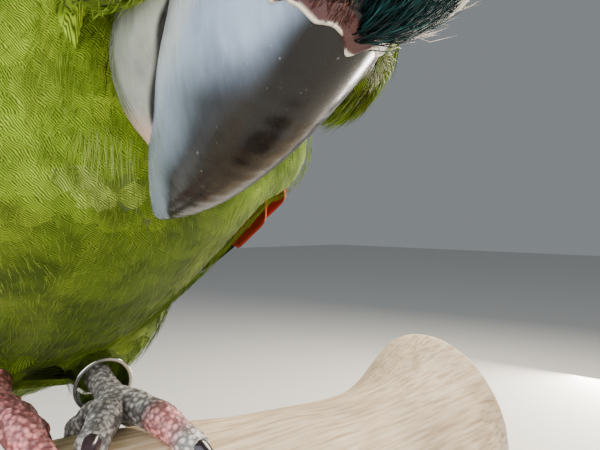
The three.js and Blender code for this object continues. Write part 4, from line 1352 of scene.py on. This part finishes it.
def makeCoats():
    place, normal = skinSamples(110000)
    forward, left, up = inHead(place)
    inFront, headward, chin, throat, bare = coatRegions(place)
    velvet = (fromCere(place) < 2.6) & (up > 8) & (np.abs(left) < 14)
    insideBill = (forward > -1.5) & (np.abs(left) < 10.5) & (up > -24) & (up < 14)
    breast = ~headward & ~throat & ((normal[:, 2] < 0.15) | inFront)
    fine = featherTemplate(7, 6, blade)
    plain = featherTemplate(6, 4, blade)
    small = featherTemplate(5, 4, blade)
    jobs = [
        ("throat", throat, fine),
        ("head", headward & ~chin, small),
        ("breast", breast, plain),
        ("back", ~headward & ~throat & ~breast, plain),
    ]
    for name, region, template in jobs:
        shape = coats[name]
        inside = region & ~bare & ~insideBill & ~velvet
        index = np.flatnonzero(inside)
        index = index[spread(place[index], shape["spacing"])]
        slot = "head_plumage" if name == "head" else "plumage"
        plantCoat(name + "_feathers", place[index], normal[index], template, shape, slot, coatMaterial)
        print(name, "coat has", len(index), "feathers")


makeCoats()


def strandTemplate():
    # a thin three-sided strand with one bend and a pointed tip
    faces = [(2, 1, 0)]
    for k in range(3):
        after = (k + 1) % 3
        faces += [(k, after, 3 + after, 3 + k), (3 + k, 3 + after, 6)]
    row = np.array([0, 0, 0, 0.5, 0.5, 0.5, 1.0])
    turn = np.array([0, 1, 2, 0, 1, 2, 0]) * 2 * np.pi / 3
    return {"faces": faces, "topFaces": len(faces), "row": row, "side": np.cos(turn), "up": np.sin(turn)}


def plantStrands(name, roots, normals, shape, tones, slot, material, ways=None):
    # loose barbs and bristles, each leaving the coat at its own angle
    template = strandTemplate()
    count = len(roots)
    ways = lieAt(roots, normals) if ways is None else ways
    ways, side = swung(roots, normals, ways, shape, 5, 22)
    length = (shape["length"] * (1 + rng.normal(0, 0.2, count)))[:, None, None]
    lean = np.radians(shape["lean"] * (1 + rng.normal(0, 0.3, count)))[:, None]
    start = roots + normals * (shape["high"] + rng.uniform(-1, 1, count)[:, None] * shape["layer"])
    first = unit(ways * np.cos(lean) + normals * np.sin(lean))
    second = unit(ways * np.cos(lean * 0.2) + normals * np.sin(lean * 0.2))
    row = template["row"][None, :, None]
    bent = np.minimum(row, 0.5) * first[:, None] + np.maximum(row - 0.5, 0) * second[:, None]
    path = start[:, None] + length * bent
    thick = shape["thick"] / 2 * (1 - 0.55 * row) * (template["row"] < 1)[None, :, None]
    vertices = path + thick * (
        side[:, None] * template["side"][None, :, None] + normals[:, None] * template["up"][None, :, None]
    )
    fade = np.interp(template["row"], [0, 0.5, 1], shape["fade"])[None, :, None]
    barbs = np.zeros((count, len(template["row"]), 2))
    piece = writeFeathers(name, vertices, template, np.clip(tones[:, None] * fade, 0, 1), roots, barbs)
    finished(piece, material, slot)
    print(name, "has", count, "strands")


def strandMaterial():
    # loose barbs: thin keratin threads, a little silky
    material, tree, shader = newMaterial("loose feather barbs")
    tone = markingsOf(tree)
    tree.links.new(tone, shader.inputs["Base Color"])
    setShader(shader, {"Roughness": 0.5, "Specular IOR Level": 0.12})
    return material


strands = {
    "chin": {"count": 70, "length": 3.4, "thick": 0.12, "swing": 8, "bundle": 8, "lean": 10, "high": 1.1,
             "layer": 0.3, "fade": (1, 1, 1)},
    "cheek": {"count": 3200, "length": 5.0, "thick": 0.13, "swing": 5, "bundle": 9, "lean": 4, "high": 1.2,
              "layer": 0.35, "fade": (0.85, 1, 1.1)},
    "tuft": {"count": 260, "length": 4.2, "thick": 0.12, "swing": 6, "bundle": 14, "lean": 10, "high": 1.2,
             "layer": 0.3, "fade": (0.9, 1.05, 1.2)},
    "throat": {"count": 11000, "length": 2.2, "thick": 0.08, "swing": 7, "bundle": 34, "lean": 6,
               "high": 1.25, "layer": 0.35, "fade": (0.85, 1, 1.1)},
    "beard": {"count": 1500, "length": 2.2, "thick": 0.08, "swing": 6, "bundle": 30, "lean": 5, "high": 0.9,
              "layer": 0.3, "fade": (0.85, 1, 1.1), "repeat": 4},
    "breast": {"count": 8000, "length": 5.5, "thick": 0.13, "swing": 8, "bundle": 20, "lean": 5,
               "high": 1.1, "layer": 0.4, "fade": (0.9, 1, 1.08)},
    "crown": {"count": 9000, "length": 2.4, "thick": 0.15, "swing": 10, "bundle": 18, "lean": 18,
              "high": 0.9, "layer": 0.4, "fade": (0.7, 1, 1.1)},
    "velvet": {"count": 3400, "length": 1.2, "thick": 0.13, "swing": 16, "bundle": 20, "lean": 24,
               "high": 0.3, "layer": 0.2, "fade": (0.7, 1, 1.2), "repeat": 3},
    "brow": {"count": 2600, "length": 3.2, "thick": 0.16, "swing": 9, "bundle": 26, "lean": 16, "high": 0.5,
             "layer": 0.4, "fade": (0.6, 1, 1.25), "repeat": 4},
    "faceLines": {"count": 500, "length": 1.5, "thick": 0.16, "swing": 8, "bundle": 6, "lean": 8,
                  "high": 0.1, "layer": 0.05, "fade": (1, 1, 1)},
    "sideFringe": {"count": 150, "length": 2.8, "thick": 0.09, "swing": 22, "bundle": 20, "lean": 42,
                   "high": 0.3, "layer": 0.2, "fade": (0.9, 1, 1.1)},
    "paleTips": {"count": 380, "length": 1.8, "thick": 0.2, "swing": 18, "bundle": 40, "lean": 26,
                 "high": 0.8, "layer": 0.4, "fade": (0.6, 1, 1.2)},
    "bristles": {"count": 160, "length": 4.2, "thick": 0.12, "swing": 16, "bundle": 12, "lean": 34,
                 "high": 0.1, "layer": 0.1, "fade": (1, 1, 1)},
}


strandTones = {
    "velvet": linear("#8d6a58"), "brow": linear("#1d4a48"), "sideFringe": linear("#e9d0c2"),
    "faceLines": linear("#2a2320"), "paleTips": linear("#e4e6c6"), "bristles": linear("#e9d6cc"),
    "chin": linear("#3a2019"),
}


def strandColours(name, at, pick):
    # green barbs take the coat's markings with bright and dark ones between, others their own tone
    tones = markings(at)
    plain = np.ones((len(at), 1))
    own = strandTones.get(name)
    if name in ("throat", "beard", "breast", "tuft", "cheek"):
        share = 0.2 if name == "breast" else 1
        bright = np.where(pick > 0.6, 0.34 * pick, 0) * share + 0.1 * (name == "tuft")
        dark = np.where(pick < 0.35, 0.6, 0) * (name != "tuft")
        tones = blended(tones, plumage["strand"], bright)
        tones = blended(tones, plumage["under"], dark)
    if name == "velvet":
        tones = blended(tones, own, np.where(pick > 0.8, 0.4, 0))
    if name == "brow":
        tones = blended(plumage["teal"] * plain, own, np.where(pick > 0.82, 0.7, 0))
        tones = tones * np.where(pick < 0.5, 0.3, 1)[:, None]
    if name == "sideFringe":
        tones = blended(own * plain, plumage["pale"], np.where(pick > 0.65, 0.8, 0))
    if name == "paleTips":
        tones = blended(tones, own, 0.25 + 0.65 * pick)
    if name in ("faceLines", "bristles", "chin"):
        tones = own * plain
    return tones


def makeStrands():
    material = strandMaterial()
    place, normal = skinSamples(230000)
    forward, left, up = inHead(place)
    aside = np.abs(left)
    behind = fromCere(place)
    inFront, headward, chin, throat, bare = coatRegions(place)
    throat = throat & ~bare
    front = headward & (up > 6) & (aside < 14) & ~bare
    onPad = (up > -9) & (up < 8) & (forward < -1) & (forward > -19)
    regions = {
        "chin": (aside > 10.8) & (aside < 12.0) & (forward > -5) & (forward < 6) & (up < -20),
        "tuft": (forward > 13) & (forward < 17) & (left > -13) & (left < -4) & (up < -20),
        "paleTips": onPad & (left > 16) & (left < 22) & ~bare & (forward < -5),
        "cheek": chin & (left > 14) & ~bare,
        "beard": throat & (np.linalg.norm(place - headPoint(4, 0, -24), axis=1) < 22),
        "throat": throat,
        "breast": ~headward & ~throat & ((normal[:, 2] < 0.2) | inFront),
        "crown": headward & ~chin & ~bare & (behind > 2),
        "velvet": front & (behind > -2.5) & (behind < np.where(left < -1, 2.2, 0.8)),
        "brow": headward & (up > 8) & (aside < 14) & (behind > np.where(left < -1, 1.6, 0.7)) & (behind < 9),
        "sideFringe": (left > 15.5) & (forward > -14.5) & (forward < -7) & (up > 1) & (up < 13),
        "faceLines": bare & (aside > 9) & (((up + 0.3 * forward) % 2.3) < 0.45),
        "bristles": bare & (aside > 8) & (behind > 0) & (behind < 9),
    }
    taken = np.zeros(len(place), bool)
    for name, region in regions.items():
        shape = strands[name]
        index = np.flatnonzero(region & ~taken)[: shape["count"]]
        taken[index] = True
        if not len(index):
            continue
        index = np.repeat(index, shape.get("repeat", 1))
        at, out = place[index], normal[index]
        if "repeat" in shape:
            shift = rng.normal(0, 0.3, at.shape)
            at = at + shift - out * (shift * out).sum(1)[:, None]
        tones = strandColours(name, at, rng.uniform(0, 1, len(index)))
        ways = None
        if name in ("velvet", "chin", "faceLines", "cheek"):
            billward = headPoint(forward[index] + 1, left[index], up[index] - 0.5) - place[index]
            ways = unit(billward - out * (billward * out).sum(1)[:, None])
        slot = "head_plumage" if headward[index].all() else "plumage"
        plantStrands(name + "_strands", at, out, shape, tones, slot, material, ways)


makeStrands()

# wings and tail

# along the folded wing: forward, height, half height and half width of the curve it lies on
mantleLine = smoothLine([
    (14, 67, 29, 44.5), (-7, 53, 34.5, 42.5), (-34, 36.5, 36.5, 39.5), (-62, 20, 33, 36), (-90, 3, 26, 29.5),
    (-118, -15, 20, 24), (-146, -34, 15.5, 20), (-174, -53, 12.5, 17.5), (-202, -71, 11, 16),
])
mantleLength = 250  # of the curve above, for the spacing of the vanes' barbs
vaneStep = 0.86
wingClear = -0.6
wingBend = 4.4  # the bend of the wing lies closer to the body


def mantlePoint(side, share, turn, lift):
    row = mantleLine(share)
    step = mantleLine(np.clip(share + 0.02, 0, 1)) - mantleLine(np.clip(share - 0.02, 0, 1))
    along = unit(step[..., :2])
    tall = np.sin(turn) * (row[..., 2] + lift)
    wide = np.cos(turn) * (row[..., 3] + lift)
    return birdPoint(side * wide, row[..., 0] + along[..., 1] * tall, row[..., 1] - along[..., 0] * tall)


def pick(pair, k):
    return lerp(pair[0], pair[1], k)


wingRows = [
    {"name": "primaries", "count": 8, "tips": [0.93, 1, 0.965, 0.9, 0.83],
     "rootShare": (0.55, 0.565), "rootTurn": (12, 38), "tipTurn": (48, 64),
     "halfWidth": (5.2, 5.6), "lift": (0.6, 4.04), "sunk": (0.6, 4.04),
     "tilt": 0, "tone": "blue"},
    {"name": "secondaries", "count": 11, "tips": [0.72, 0.71, 0.69, 0.665, 0.63, 0.59],
     "rootShare": (0.3, 0.16), "rootTurn": (-4, 60), "tipTurn": (18, 76),
     "halfWidth": (4.9, 4.8), "lift": (4.9, 4.9), "sunk": (3.2, 3.2),
     "tilt": 1.5, "tone": "bluegreen"},
    {"name": "greaterCoverts", "count": 12, "tips": [0.47, 0.465, 0.45, 0.435, 0.41, 0.38],
     "rootShare": (0.22, 0.08), "rootTurn": (-5, 54), "tipTurn": (7, 68),
     "halfWidth": (4.6, 4.5), "lift": (5.6, 5.6), "sunk": (3.2, 3.2),
     "tilt": 1.0, "tone": "green"},
    {"name": "medianCoverts", "count": 12, "tips": [0.3, 0.295, 0.285, 0.27, 0.24],
     "rootShare": (0.12, 0.04), "rootTurn": (-10, 46), "tipTurn": (-3, 62),
     "halfWidth": (4.6, 4.5), "lift": (6.0, 6.0), "sunk": (2.8, 2.8),
     "tilt": 0.7, "tone": "green"},
    {"name": "lesserCovertsLong", "count": 13, "tips": [0.19, 0.18, 0.165],
     "rootShare": (0.07, 0.03), "rootTurn": (-20, 36), "tipTurn": (-14, 56),
     "halfWidth": (4.4, 4.2), "lift": (6.2, 6.1), "sunk": (2.2, 2.2),
     "tilt": 0.6, "tone": "green"},
    {"name": "lesserCovertsShort", "count": 13, "tips": [0.125, 0.115, 0.1],
     "rootShare": (0.035, 0.02), "rootTurn": (-20, 26), "tipTurn": (-15, 40),
     "halfWidth": (4.2, 4.0), "lift": (6.3, 6.1), "sunk": (1.6, 1.6),
     "tilt": 0.5, "tone": "green"},
]
# the vane's middle, its edges and its underside
flightTones = {
    "blue": ("#1c4668", "#2f6f86", "#6b2a1e"),
    "bluegreen": ("#1f5a76", "#3f7f3c", "#6b2a1e"),
    "green": ("#466c15", "#6b8d20", "#5f642a"),
    "red": ("#c8451c", "#b8621c", "#a8321a"),
    "dark": ("#191b12", "#37461a", "#17140f"),
}


def vaneTemplate(along, across):
    # both faces of a vane share its rim; the middle row is the shaft
    top = featherTemplate(along, across, [(0, 1), (1, 1)], 0)
    quads = top["faces"][: top["topFaces"]]
    size = len(top["row"])
    onRim = (np.abs(top["side"]) > 0.999) | (top["row"] < 0.001) | (top["row"] > 0.999)
    rim = set(np.flatnonzero(onRim).tolist())
    keep = [v for v in range(size) if v not in rim]
    order = {v: size + k for k, v in enumerate(keep)}
    second = {v: order.get(v, v) for v in range(size)}
    under = [tuple(second[v] for v in face[::-1]) for face in quads]
    share = np.concatenate([top["row"], top["row"][keep]])
    side = np.concatenate([top["side"], top["side"][keep]])
    isUnder = np.concatenate([np.zeros(size), np.ones(len(keep))])
    isRim = np.array([v in rim for v in range(size)] + [False] * len(keep))
    return {
        "row": share, "side": side, "under": isUnder, "rim": isRim,
        "faces": quads + under, "topFaces": len(quads),
    }


def vaneWidth(row, tipPower=2.6):
    # the outline of a flight feather: full for most of its length, rounded at the tip
    return np.clip(0.5 + 1.6 * row, 0, 1) * np.clip(1 - np.clip(row, 0, 1) ** (tipPower * 4), 0, 1) ** 0.5


vaneGrid = vaneTemplate(14, 6)
flightMaterial = featherMaterial("flight feathers", 0.7, 0.35, 0.5)


def layVanes(name, places, lengths, halfWidths, tones, slot, node):
    # places is feather by point, already in the bird's space
    template = vaneGrid
    barbs = np.stack([
        template["side"][None] * halfWidths[:, None], template["row"][None] * lengths[:, None]
    ], -1) * 0.1
    top, edge, under = tones
    sideShare = np.abs(template["side"])[None, :, None]
    full = top[:, None] * (1 - sideShare**2) + edge[:, None] * sideShare**2
    piece = writeFeathers(name, places, template, full, places[:, 0], barbs, under)
    outwards(piece)
    finished(piece, flightMaterial, slot, node)
    return piece


def vaneRelief(template, thick, shaft):
    # half the vane's thickness and the raised shaft, out from its middle on both faces
    ridge = shaft * np.exp(-((template["side"] / 0.14) ** 2)) * (1 - 0.7 * template["row"])
    return (thick + ridge) * (1 - 2 * template["under"]) * ~template["rim"]


def makeWing(side, name):
    template = vaneGrid
    places, lengths, widths, tones = [], [], [], []
    for row in wingRows:
        for index in range(row["count"]):
            k = index / (row["count"] - 1)
            tip = np.interp(k, np.linspace(0, 1, len(row["tips"])), row["tips"]) + rng.normal(0, 0.004)
            s = template["row"] - 0.06 * template["side"] ** 2 * template["row"] ** 3
            share = lerp(pick(row["rootShare"], k), tip, s)
            reach = mantleLine(share)
            upward = template["side"]
            half = pick(row["halfWidth"], k)
            perDegree = np.radians((reach[:, 2] + reach[:, 3]) / 2 + pick(row["lift"], k))
            turn = lerp(pick(row["rootTurn"], k), pick(row["tipTurn"], k), s)
            turn = turn + upward * vaneWidth(template["row"]) * half / perDegree
            risen = rise(s, 0, 0.42)
            lift = lerp(pick(row["sunk"], k), pick(row["lift"], k), risen)
            lift = lift + row["tilt"] * risen * (1 - upward) / 2
            lift = lift + vaneRelief(template, 0.28, 0.2) + 0.25
            lift = lift + 0.25 * (1 - template["side"] ** 2)
            bend = wingBend * (1 if row["name"].startswith("lesser") else 0.4)
            lift = lift - bend * (1 - rise(share, 0.12, 0.3)) * lerp(1, 0.3, rise(k, 0.2, 0.5))
            places.append(mantlePoint(side, share, np.radians(turn), wingClear + lift))
            lengths.append(abs(tip - pick(row["rootShare"], k)) * mantleLength)
            widths.append(half)
            tone = row["tone"]
            if row["name"].startswith("lesser") and k < 0.18:
                tone = "red"
            # painted shadow: near-black vanes below the red, under the bend of the wing
            if row["name"] == "medianCoverts" and k < 0.1:
                tone = "dark"
            top, edge, under = (linear(code) for code in flightTones[tone])
            shade = 1 + rng.normal(0, 0.08)
            tones.append((top * shade, edge * shade, under * shade))
    tones = [np.clip(np.array([tone[j] for tone in tones]), 0, 1) for j in range(3)]
    sizes = np.array(lengths), np.array(widths)
    layVanes("wing_feathers_" + name, np.array(places), *sizes, tones, "wing_plumage", "wing_" + name)


for foot in feet:
    makeWing(foot["side"], foot["name"])
print("wings are made")

tailShape = {
    "forward": -108, "height": -8, "slope": 31, "arch": 0.012,
    "pairs": [214, 194, 173, 151, 128, 104],
    # coverts over and under the long feathers: how far to the left, and where they end
    "over": [(0, 66), (7.5, 56), (-7.5, 56), (4, 48), (-4, 48), (0, 38), (9, 40), (-9, 40)],
    "below": [(0, 78), (7, 64), (-7, 64), (0, 56), (4, 46), (-4, 46)],
}
tailTones = {
    "long": ("#7a3420", "#5a2c1c", "#7d3322"),
    "over": ("#4f7f22", "#7ea32c", "#5a6a22"),
    "below": ("#3f6a4a", "#4f7f3a", "#3f6a4a"),
    "end": "#1f5a86",
}


def tailPoint(distance, left, height):
    slope = math.radians(tailShape["slope"])
    return birdPoint(
        left,
        tailShape["forward"] - distance * math.cos(slope) + height * math.sin(slope),
        tailShape["height"] - distance * math.sin(slope) + height * math.cos(slope),
    )


def makeTail():
    template = vaneGrid
    vanes = []
    for side in (1, -1):
        for pair, end in enumerate(tailShape["pairs"]):
            middle = pair == 0
            height = vaneStep if middle and side > 0 else -pair * vaneStep
            root = side * (3.4 if middle else 6.6 + pair * 0.5)
            tip = side * (2.4 if middle else 6.2 + pair * 0.75)
            half = 7 if middle else 6.2
            vanes.append((24, end, root, tip, half, height, height, tailTones["long"]))
    for step, (left, end) in enumerate(tailShape["over"]):
        height = (2 + (step == 0) + 0.7 * (step > 2)) * vaneStep
        vanes.append((2 - step * 0.4, end, left, left * 0.8, 5.2, height, 0, tailTones["over"]))
    for step, (left, end) in enumerate(tailShape["below"]):
        height = -(len(tailShape["pairs"]) + (step == 0) + 0.6 * (step > 2)) * vaneStep - 0.3
        vanes.append((4 - step * 0.4, end, left, left * 0.9, 5.2, height, -6, tailTones["below"]))
    places, lengths, widths, tones = [], [], [], []
    for start, end, root, tip, half, height, sunk, codes in vanes:
        s = template["row"] - 0.05 * template["side"] ** 2 * template["row"] ** 3
        left = lerp(root, tip, s) + template["side"] * vaneWidth(template["row"], 1.6) * half
        lift = lerp(sunk, height, rise(s, 0, 0.3)) - tailShape["arch"] * left**2 + 0.27
        lift = lift + vaneRelief(template, 0.26, 0.16)
        places.append(tailPoint(lerp(start, end, s), left, lift))
        lengths.append(end - start)
        widths.append(half)
        tones.append([linear(code) for code in codes])
    tones = [np.array([tone[j] for tone in tones]) for j in range(3)]
    sizes = np.array(lengths), np.array(widths)
    piece = layVanes("tail_feathers", np.array(places), *sizes, tones, "tail_plumage", "tail")
    # the long feathers turn from red-brown to blue towards their tips
    colours = piece.data.color_attributes["markings"]
    values = np.empty(len(piece.data.loops) * 4, np.float32)
    colours.data.foreach_get("color", values)
    values = values.reshape(-1, 4)
    corner = np.empty(len(piece.data.loops), int)
    piece.data.loops.foreach_get("vertex_index", corner)
    size = len(template["row"])
    feather, point = corner // size, corner % size
    blue = rise(template["row"][point], 0.55, 0.92) * (feather < 2 * len(tailShape["pairs"]))
    perFeather = len(template["faces"]) * 4
    onTop = (np.arange(len(corner)) % perFeather) < template["topFaces"] * 4
    blue = blue * np.where(onTop, 1, 0.25)
    values[:, :3] = blended(values[:, :3], linear(tailTones["end"]), blue)
    colours.data.foreach_set("color", values.ravel())


makeTail()
print("tail is made")

# feet, claws and ring

footTones = {
    "grey": linear("#a9a5a3"), "dark": linear("#454040"), "pink": linear("#e88d8f"),
    "pale": linear("#dedad6"),
    "pinkAt": birdPoint(13, 11, 2), "pinkWide": 6.0,
}


def footMarks(foot, points):
    # worn grey scales over pink skin; one foot is rubbed pinker than the other
    patch = lumps(points, 8, 31)
    tone = np.tile(footTones["grey"], (len(points), 1))
    tone = blended(tone, footTones["pale"], np.clip(0.3 + 0.8 * patch, 0, 0.8))
    tone = blended(tone, footTones["dark"], np.clip(1.4 * lumps(points, 5, 32), 0, 0.75))
    if foot["side"] > 0:
        near = np.linalg.norm(points - footTones["pinkAt"], axis=1)
        wide = footTones["pinkWide"]
        return blended(tone, footTones["pink"], 1 - rise(near, wide * 0.4, wide * 1.25))
    return blended(tone, footTones["pink"], 0.7 + 0.28 * rise(patch, -0.4, 0.1))


def toeStations(foot, bearing, length):
    rows = []
    for i in range(6):
        share = i / 5
        radius = footShape["toeRadius"] * (1 - 0.2 * share) + (0.25 if i % 2 else 0)
        raised = foot["arch"] * math.cos(share * math.pi / 2)
        rows.append((*onBranch(foot, bearing, share * length, radius + footShape["gap"] + raised), radius))
    return rows


def scaled(place, length, girth, pitch=1.5, depth=0.28):
    # scales: staggered low domes all over a limb
    def at(u, v):
        points = place(u, v)
        step = place(u, np.clip(v + 0.004, 0, 1)), place((u + 0.004) % 1, v)
        normal = unit(np.cross(step[0] - points, step[1] - points))
        rowNumber = v * length / pitch
        row = np.floor(rowNumber)
        across = u * girth / pitch + 0.5 * (row % 2)
        cell = ((rowNumber % 1) - 0.5) ** 2 + ((across % 1) - 0.5) ** 2
        dome = np.clip(1 - cell * 4, 0, 1) ** 0.5
        return points + normal * (dome * depth)[..., None]

    return at


# how high its middle runs over the wood, and the radius at its root and its tip
clawShape = {"heights": [3.2, 4.6, 4.4, 2.9, 0.9], "root": 2.3, "tip": 0.35}


def makeFoot(foot):
    parts = []
    for _, bearing, length, _ in toes:
        shape = limbShape(toeStations(foot, bearing, length))
        parts.append(shaped("toe", 84, 110, scaled(shape, length + 7, 20)))
    toe = footShape["toeRadius"]
    ankle = [
        (*onBranch(foot, 0, distance, toe + foot["arch"] + over), toe + wider)
        for distance, over, wider in footShape["heel"]
    ]
    parts.append(shaped("ankle", 80, 60, scaled(limbShape(ankle), 14, 22)))
    piece = joinAll(parts, "scaled_foot_" + foot["name"])
    paint(piece, footMarks(foot, pointsOf(piece) / mm))
    finished(piece, footMaterial, "foot_skin", "foot_" + foot["name"])
    ball, ankle = legPoints(foot)
    above = ankle + (ankle - ball) * 0.4
    stations = [(*ball, 3.6), (*lerp(ball, ankle, 0.5), 3.1), (*ankle, 3.7), (*above, 3.5)]
    leg = shaped("scaled_leg_" + foot["name"], 80, 90, scaled(limbShape(stations), 34, 20))
    paint(leg, footMarks(foot, pointsOf(leg) / mm))
    finished(leg, footMaterial, "foot_skin", "leg_" + foot["name"])
    for name, bearing, length, clawLength in toes:
        rows = []
        for i, high in enumerate(clawShape["heights"]):
            share = i / 4
            radius = lerp(clawShape["root"], clawShape["tip"], share**0.8)
            distance = length - 1.5 + clawLength * share
            rows.append((*onBranch(foot, bearing, distance, max(high, radius + footShape["gap"])), radius))
        claw = shaped("horn_claw_" + foot["name"] + "_" + name, 32, 36, limbShape(rows))
        finished(claw, clawMaterial, "claw", "claw_" + foot["name"] + "_" + name)


def makeFootMaterials():
    # dry scaled skin: grey-white worn scales over pink
    material, tree, shader = newMaterial("scaled foot skin")
    tone = markingsOf(tree)
    cells = addNode(tree, "ShaderNodeTexVoronoi", {"Scale": 1 / (1.1 * mm)}, {"Vector": objectSpace(tree)})
    pits = cells.outputs["Distance"]
    dark = ramp(tree, pits, [(0.25, 1.0), (0.62, 0.28)])
    toned(tree, shader, tone, dark)
    setShader(shader, {"Roughness": 0.42})
    bumped(tree, shader, pits, -0.18, 0.8)
    horn, tree, shader = newMaterial("black claw horn")  # smooth and glossy with fine length lines
    tone = ramp(tree, noiseFor(tree, 2.5, 5), [(0.3, "#120e12"), (0.7, "#3a2c34")])
    tree.links.new(tone, shader.inputs["Base Color"])
    setShader(shader, {"Roughness": 0.2, "Coat Weight": 0.4})
    bumped(tree, shader, noiseFor(tree, 0.8, 4), 0.04, 0.5)
    return material, horn


footMaterial, clawMaterial = makeFootMaterials()
for foot in feet:
    makeFoot(foot)


# inside radius, wall, height, how far up the leg it rests, and its rounded edges
ringShape = {"inner": 5.9, "wall": 0.9, "tall": 8.5, "rest": 10, "edge": 0.25}


def makeRing():
    wall, tall = ringShape["wall"], ringShape["tall"]
    tube = {"radius": (ringShape["inner"] + wall) * mm, "depth": tall * mm, "end_fill_type": "NOTHING"}
    ball, ankle = legPoints(feet[0])
    along = Vector(unit(ankle - ball))
    place = Vector(ball) + along * (ringShape["rest"] + tall / 2)
    ring = added(bpy.ops.mesh.primitive_cylinder_add, "steel_ring", vertices=96, **tube)
    applyModifier(ring, "SOLIDIFY", thickness=wall * mm, offset=-1, use_rim=True)
    bevelled(ring, ringShape["edge"], 3, 40)
    ring.data.transform(along.to_track_quat("Z", "Y").to_matrix().to_4x4())
    setPoints(ring, pointsOf(ring) + np.array(place) * mm)
    smoothed(ring, 35)
    material, tree, shader = newMaterial("polished steel")  # turned and polished, fine scratches round it
    setShader(shader, {"Base Color": colour("#c6c8ca"), "Metallic": 1.0})
    scratches = noiseFor(tree, 0.6, 4, (1, 1, 6))
    tree.links.new(ramp(tree, scratches, [(0.3, 0.1), (0.7, 0.24)]), shader.inputs["Roughness"])
    finished(ring, material, "ring_steel", "leg_ring_left")


makeRing()
print("feet and ring are made")

# branch and stand


def perchShape(u, v):
    capShare = 0.06
    inside = np.clip((v - capShare) / (1 - 2 * capShare), 0, 1)
    left = lerp(-perch["rightEnd"], perch["leftEnd"], inside)
    turn = u * 2 * np.pi
    cap = np.clip(np.minimum(v, 1 - v) / capShare, 0, 1)
    standing = np.clip((np.abs(left) - perch["smoothReach"]) / 20, 0, 1)
    bumps = 0.9 * np.sin(left / 17 + turn) + 0.7 * np.sin(2 * turn - left / 31)
    radius = perch["radius"] + standing * bumps
    for at, angle, size, wide in perch["knots"]:
        away = np.hypot((left - at) / wide, np.sin((turn - angle) / 2) * 3.6)
        radius = radius + size * np.exp(-(away**2))
    grain = np.stack([left / 22, np.cos(turn) * 5, np.sin(turn) * 5], -1)
    furrow = lumps(grain, 1.0, 6) * 0.28 + lumps(grain * 2.3, 1.0, 7) * 0.16
    radius = radius + np.minimum(furrow, 0.05) * np.where(cap < 1, 0.4, 1)
    forward, height = perchMiddle(left)
    reach = radius * cap
    return birdPoint(left, forward + np.sin(turn) * reach, height + np.cos(turn) * reach)


def makeBranch():
    branch = shaped("branch", 180, 220, perchShape)
    material, tree, shader = newMaterial("weathered bare wood")  # peeled, sun-bleached, grain along it
    where = objectSpace(tree)
    grain = noiseFor(tree, 1.0, 8, (0.06, 1, 1), where)
    broad = noiseFor(tree, 26, 4, vector=where)
    tone = ramp(tree, grain, [(0.3, "#a98f70"), (0.5, "#cfb897"), (0.7, "#e2d2b8")])
    shade = ramp(tree, broad, [(0.35, 0.72), (0.65, 1.05)])
    toned(tree, shader, tone, shade)
    setShader(shader, {"Roughness": 0.72})
    bumped(tree, shader, grain, 0.3, 0.7)
    finished(branch, material, "branch_wood", "perch")


standShape = {
    # turned steps across the top: how wide each is, and how far it drops or rises
    "steps": [(6, 0), (1.2, -1.0), (1.2, 0), (1.2, 1.0)],
    "baseEdge": 1.6, "rodEdge": 0.4, "rodGap": 0.2,
}


def makeBase():
    low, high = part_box("stand_base")
    centre, size = (low + high) / 2, high - low
    disc = {"vertices": 128, "radius": size.x / 2, "depth": size.z, "end_fill_type": "NGON"}
    base = added(bpy.ops.mesh.primitive_cylinder_add, "turned_base", **disc)
    onlyActive(base)
    bpy.ops.object.mode_set(mode="EDIT")
    bpy.ops.mesh.select_all(action="DESELECT")
    bpy.ops.object.mode_set(mode="OBJECT")
    for face in base.data.polygons:
        face.select = face.normal.z > 0.9
    bpy.ops.object.mode_set(mode="EDIT")
    for width, drop in standShape["steps"]:
        bpy.ops.mesh.inset(thickness=width * mm, depth=drop * mm)
    bpy.ops.object.mode_set(mode="OBJECT")
    bevelled(base, standShape["baseEdge"], 4, 60)
    setPoints(base, pointsOf(base) + np.array(centre))
    smoothed(base, 30)
    # turned and stained dark, with satin lacquer over fine grain
    material, tree, shader = newMaterial("ebonised beech")
    grain = noiseFor(tree, 1.3, 6, (0.08, 1, 1))
    tree.links.new(ramp(tree, grain, [(0.3, "#17120f"), (0.7, "#33271f")]), shader.inputs["Base Color"])
    setShader(shader, {"Roughness": 0.32, "Coat Weight": 0.3})
    bumped(tree, shader, grain, 0.05, 0.4)
    finished(base, material, "base_wood", "stand_base")


def makeRods():
    steel, tree, shader = newMaterial("brushed steel rod")  # drawn bar, brushed along its length
    setShader(shader, {"Base Color": colour("#a9abae"), "Metallic": 1.0})
    brushed = noiseFor(tree, 0.5, 4, (1, 1, 0.03))
    tree.links.new(ramp(tree, brushed, [(0.3, 0.22), (0.7, 0.4)]), shader.inputs["Roughness"])
    for number in (1, 2):
        low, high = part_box("stand_rod_%d" % number)
        centre, size = (low + high) / 2, high - low
        bar = {"vertices": 48, "radius": size.x / 2, "depth": size.z - standShape["rodGap"] * mm}
        rod = added(bpy.ops.mesh.primitive_cylinder_add, "steel_rod_%d" % number, **bar)
        bevelled(rod, standShape["rodEdge"], 2, 60)
        setPoints(rod, pointsOf(rod) + np.array(centre))
        smoothed(rod, 35)
        finished(rod, steel, "rod_steel", "stand_rod_%d" % number)


makeBranch()
makeBase()
makeRods()
print("branch and stand are made")
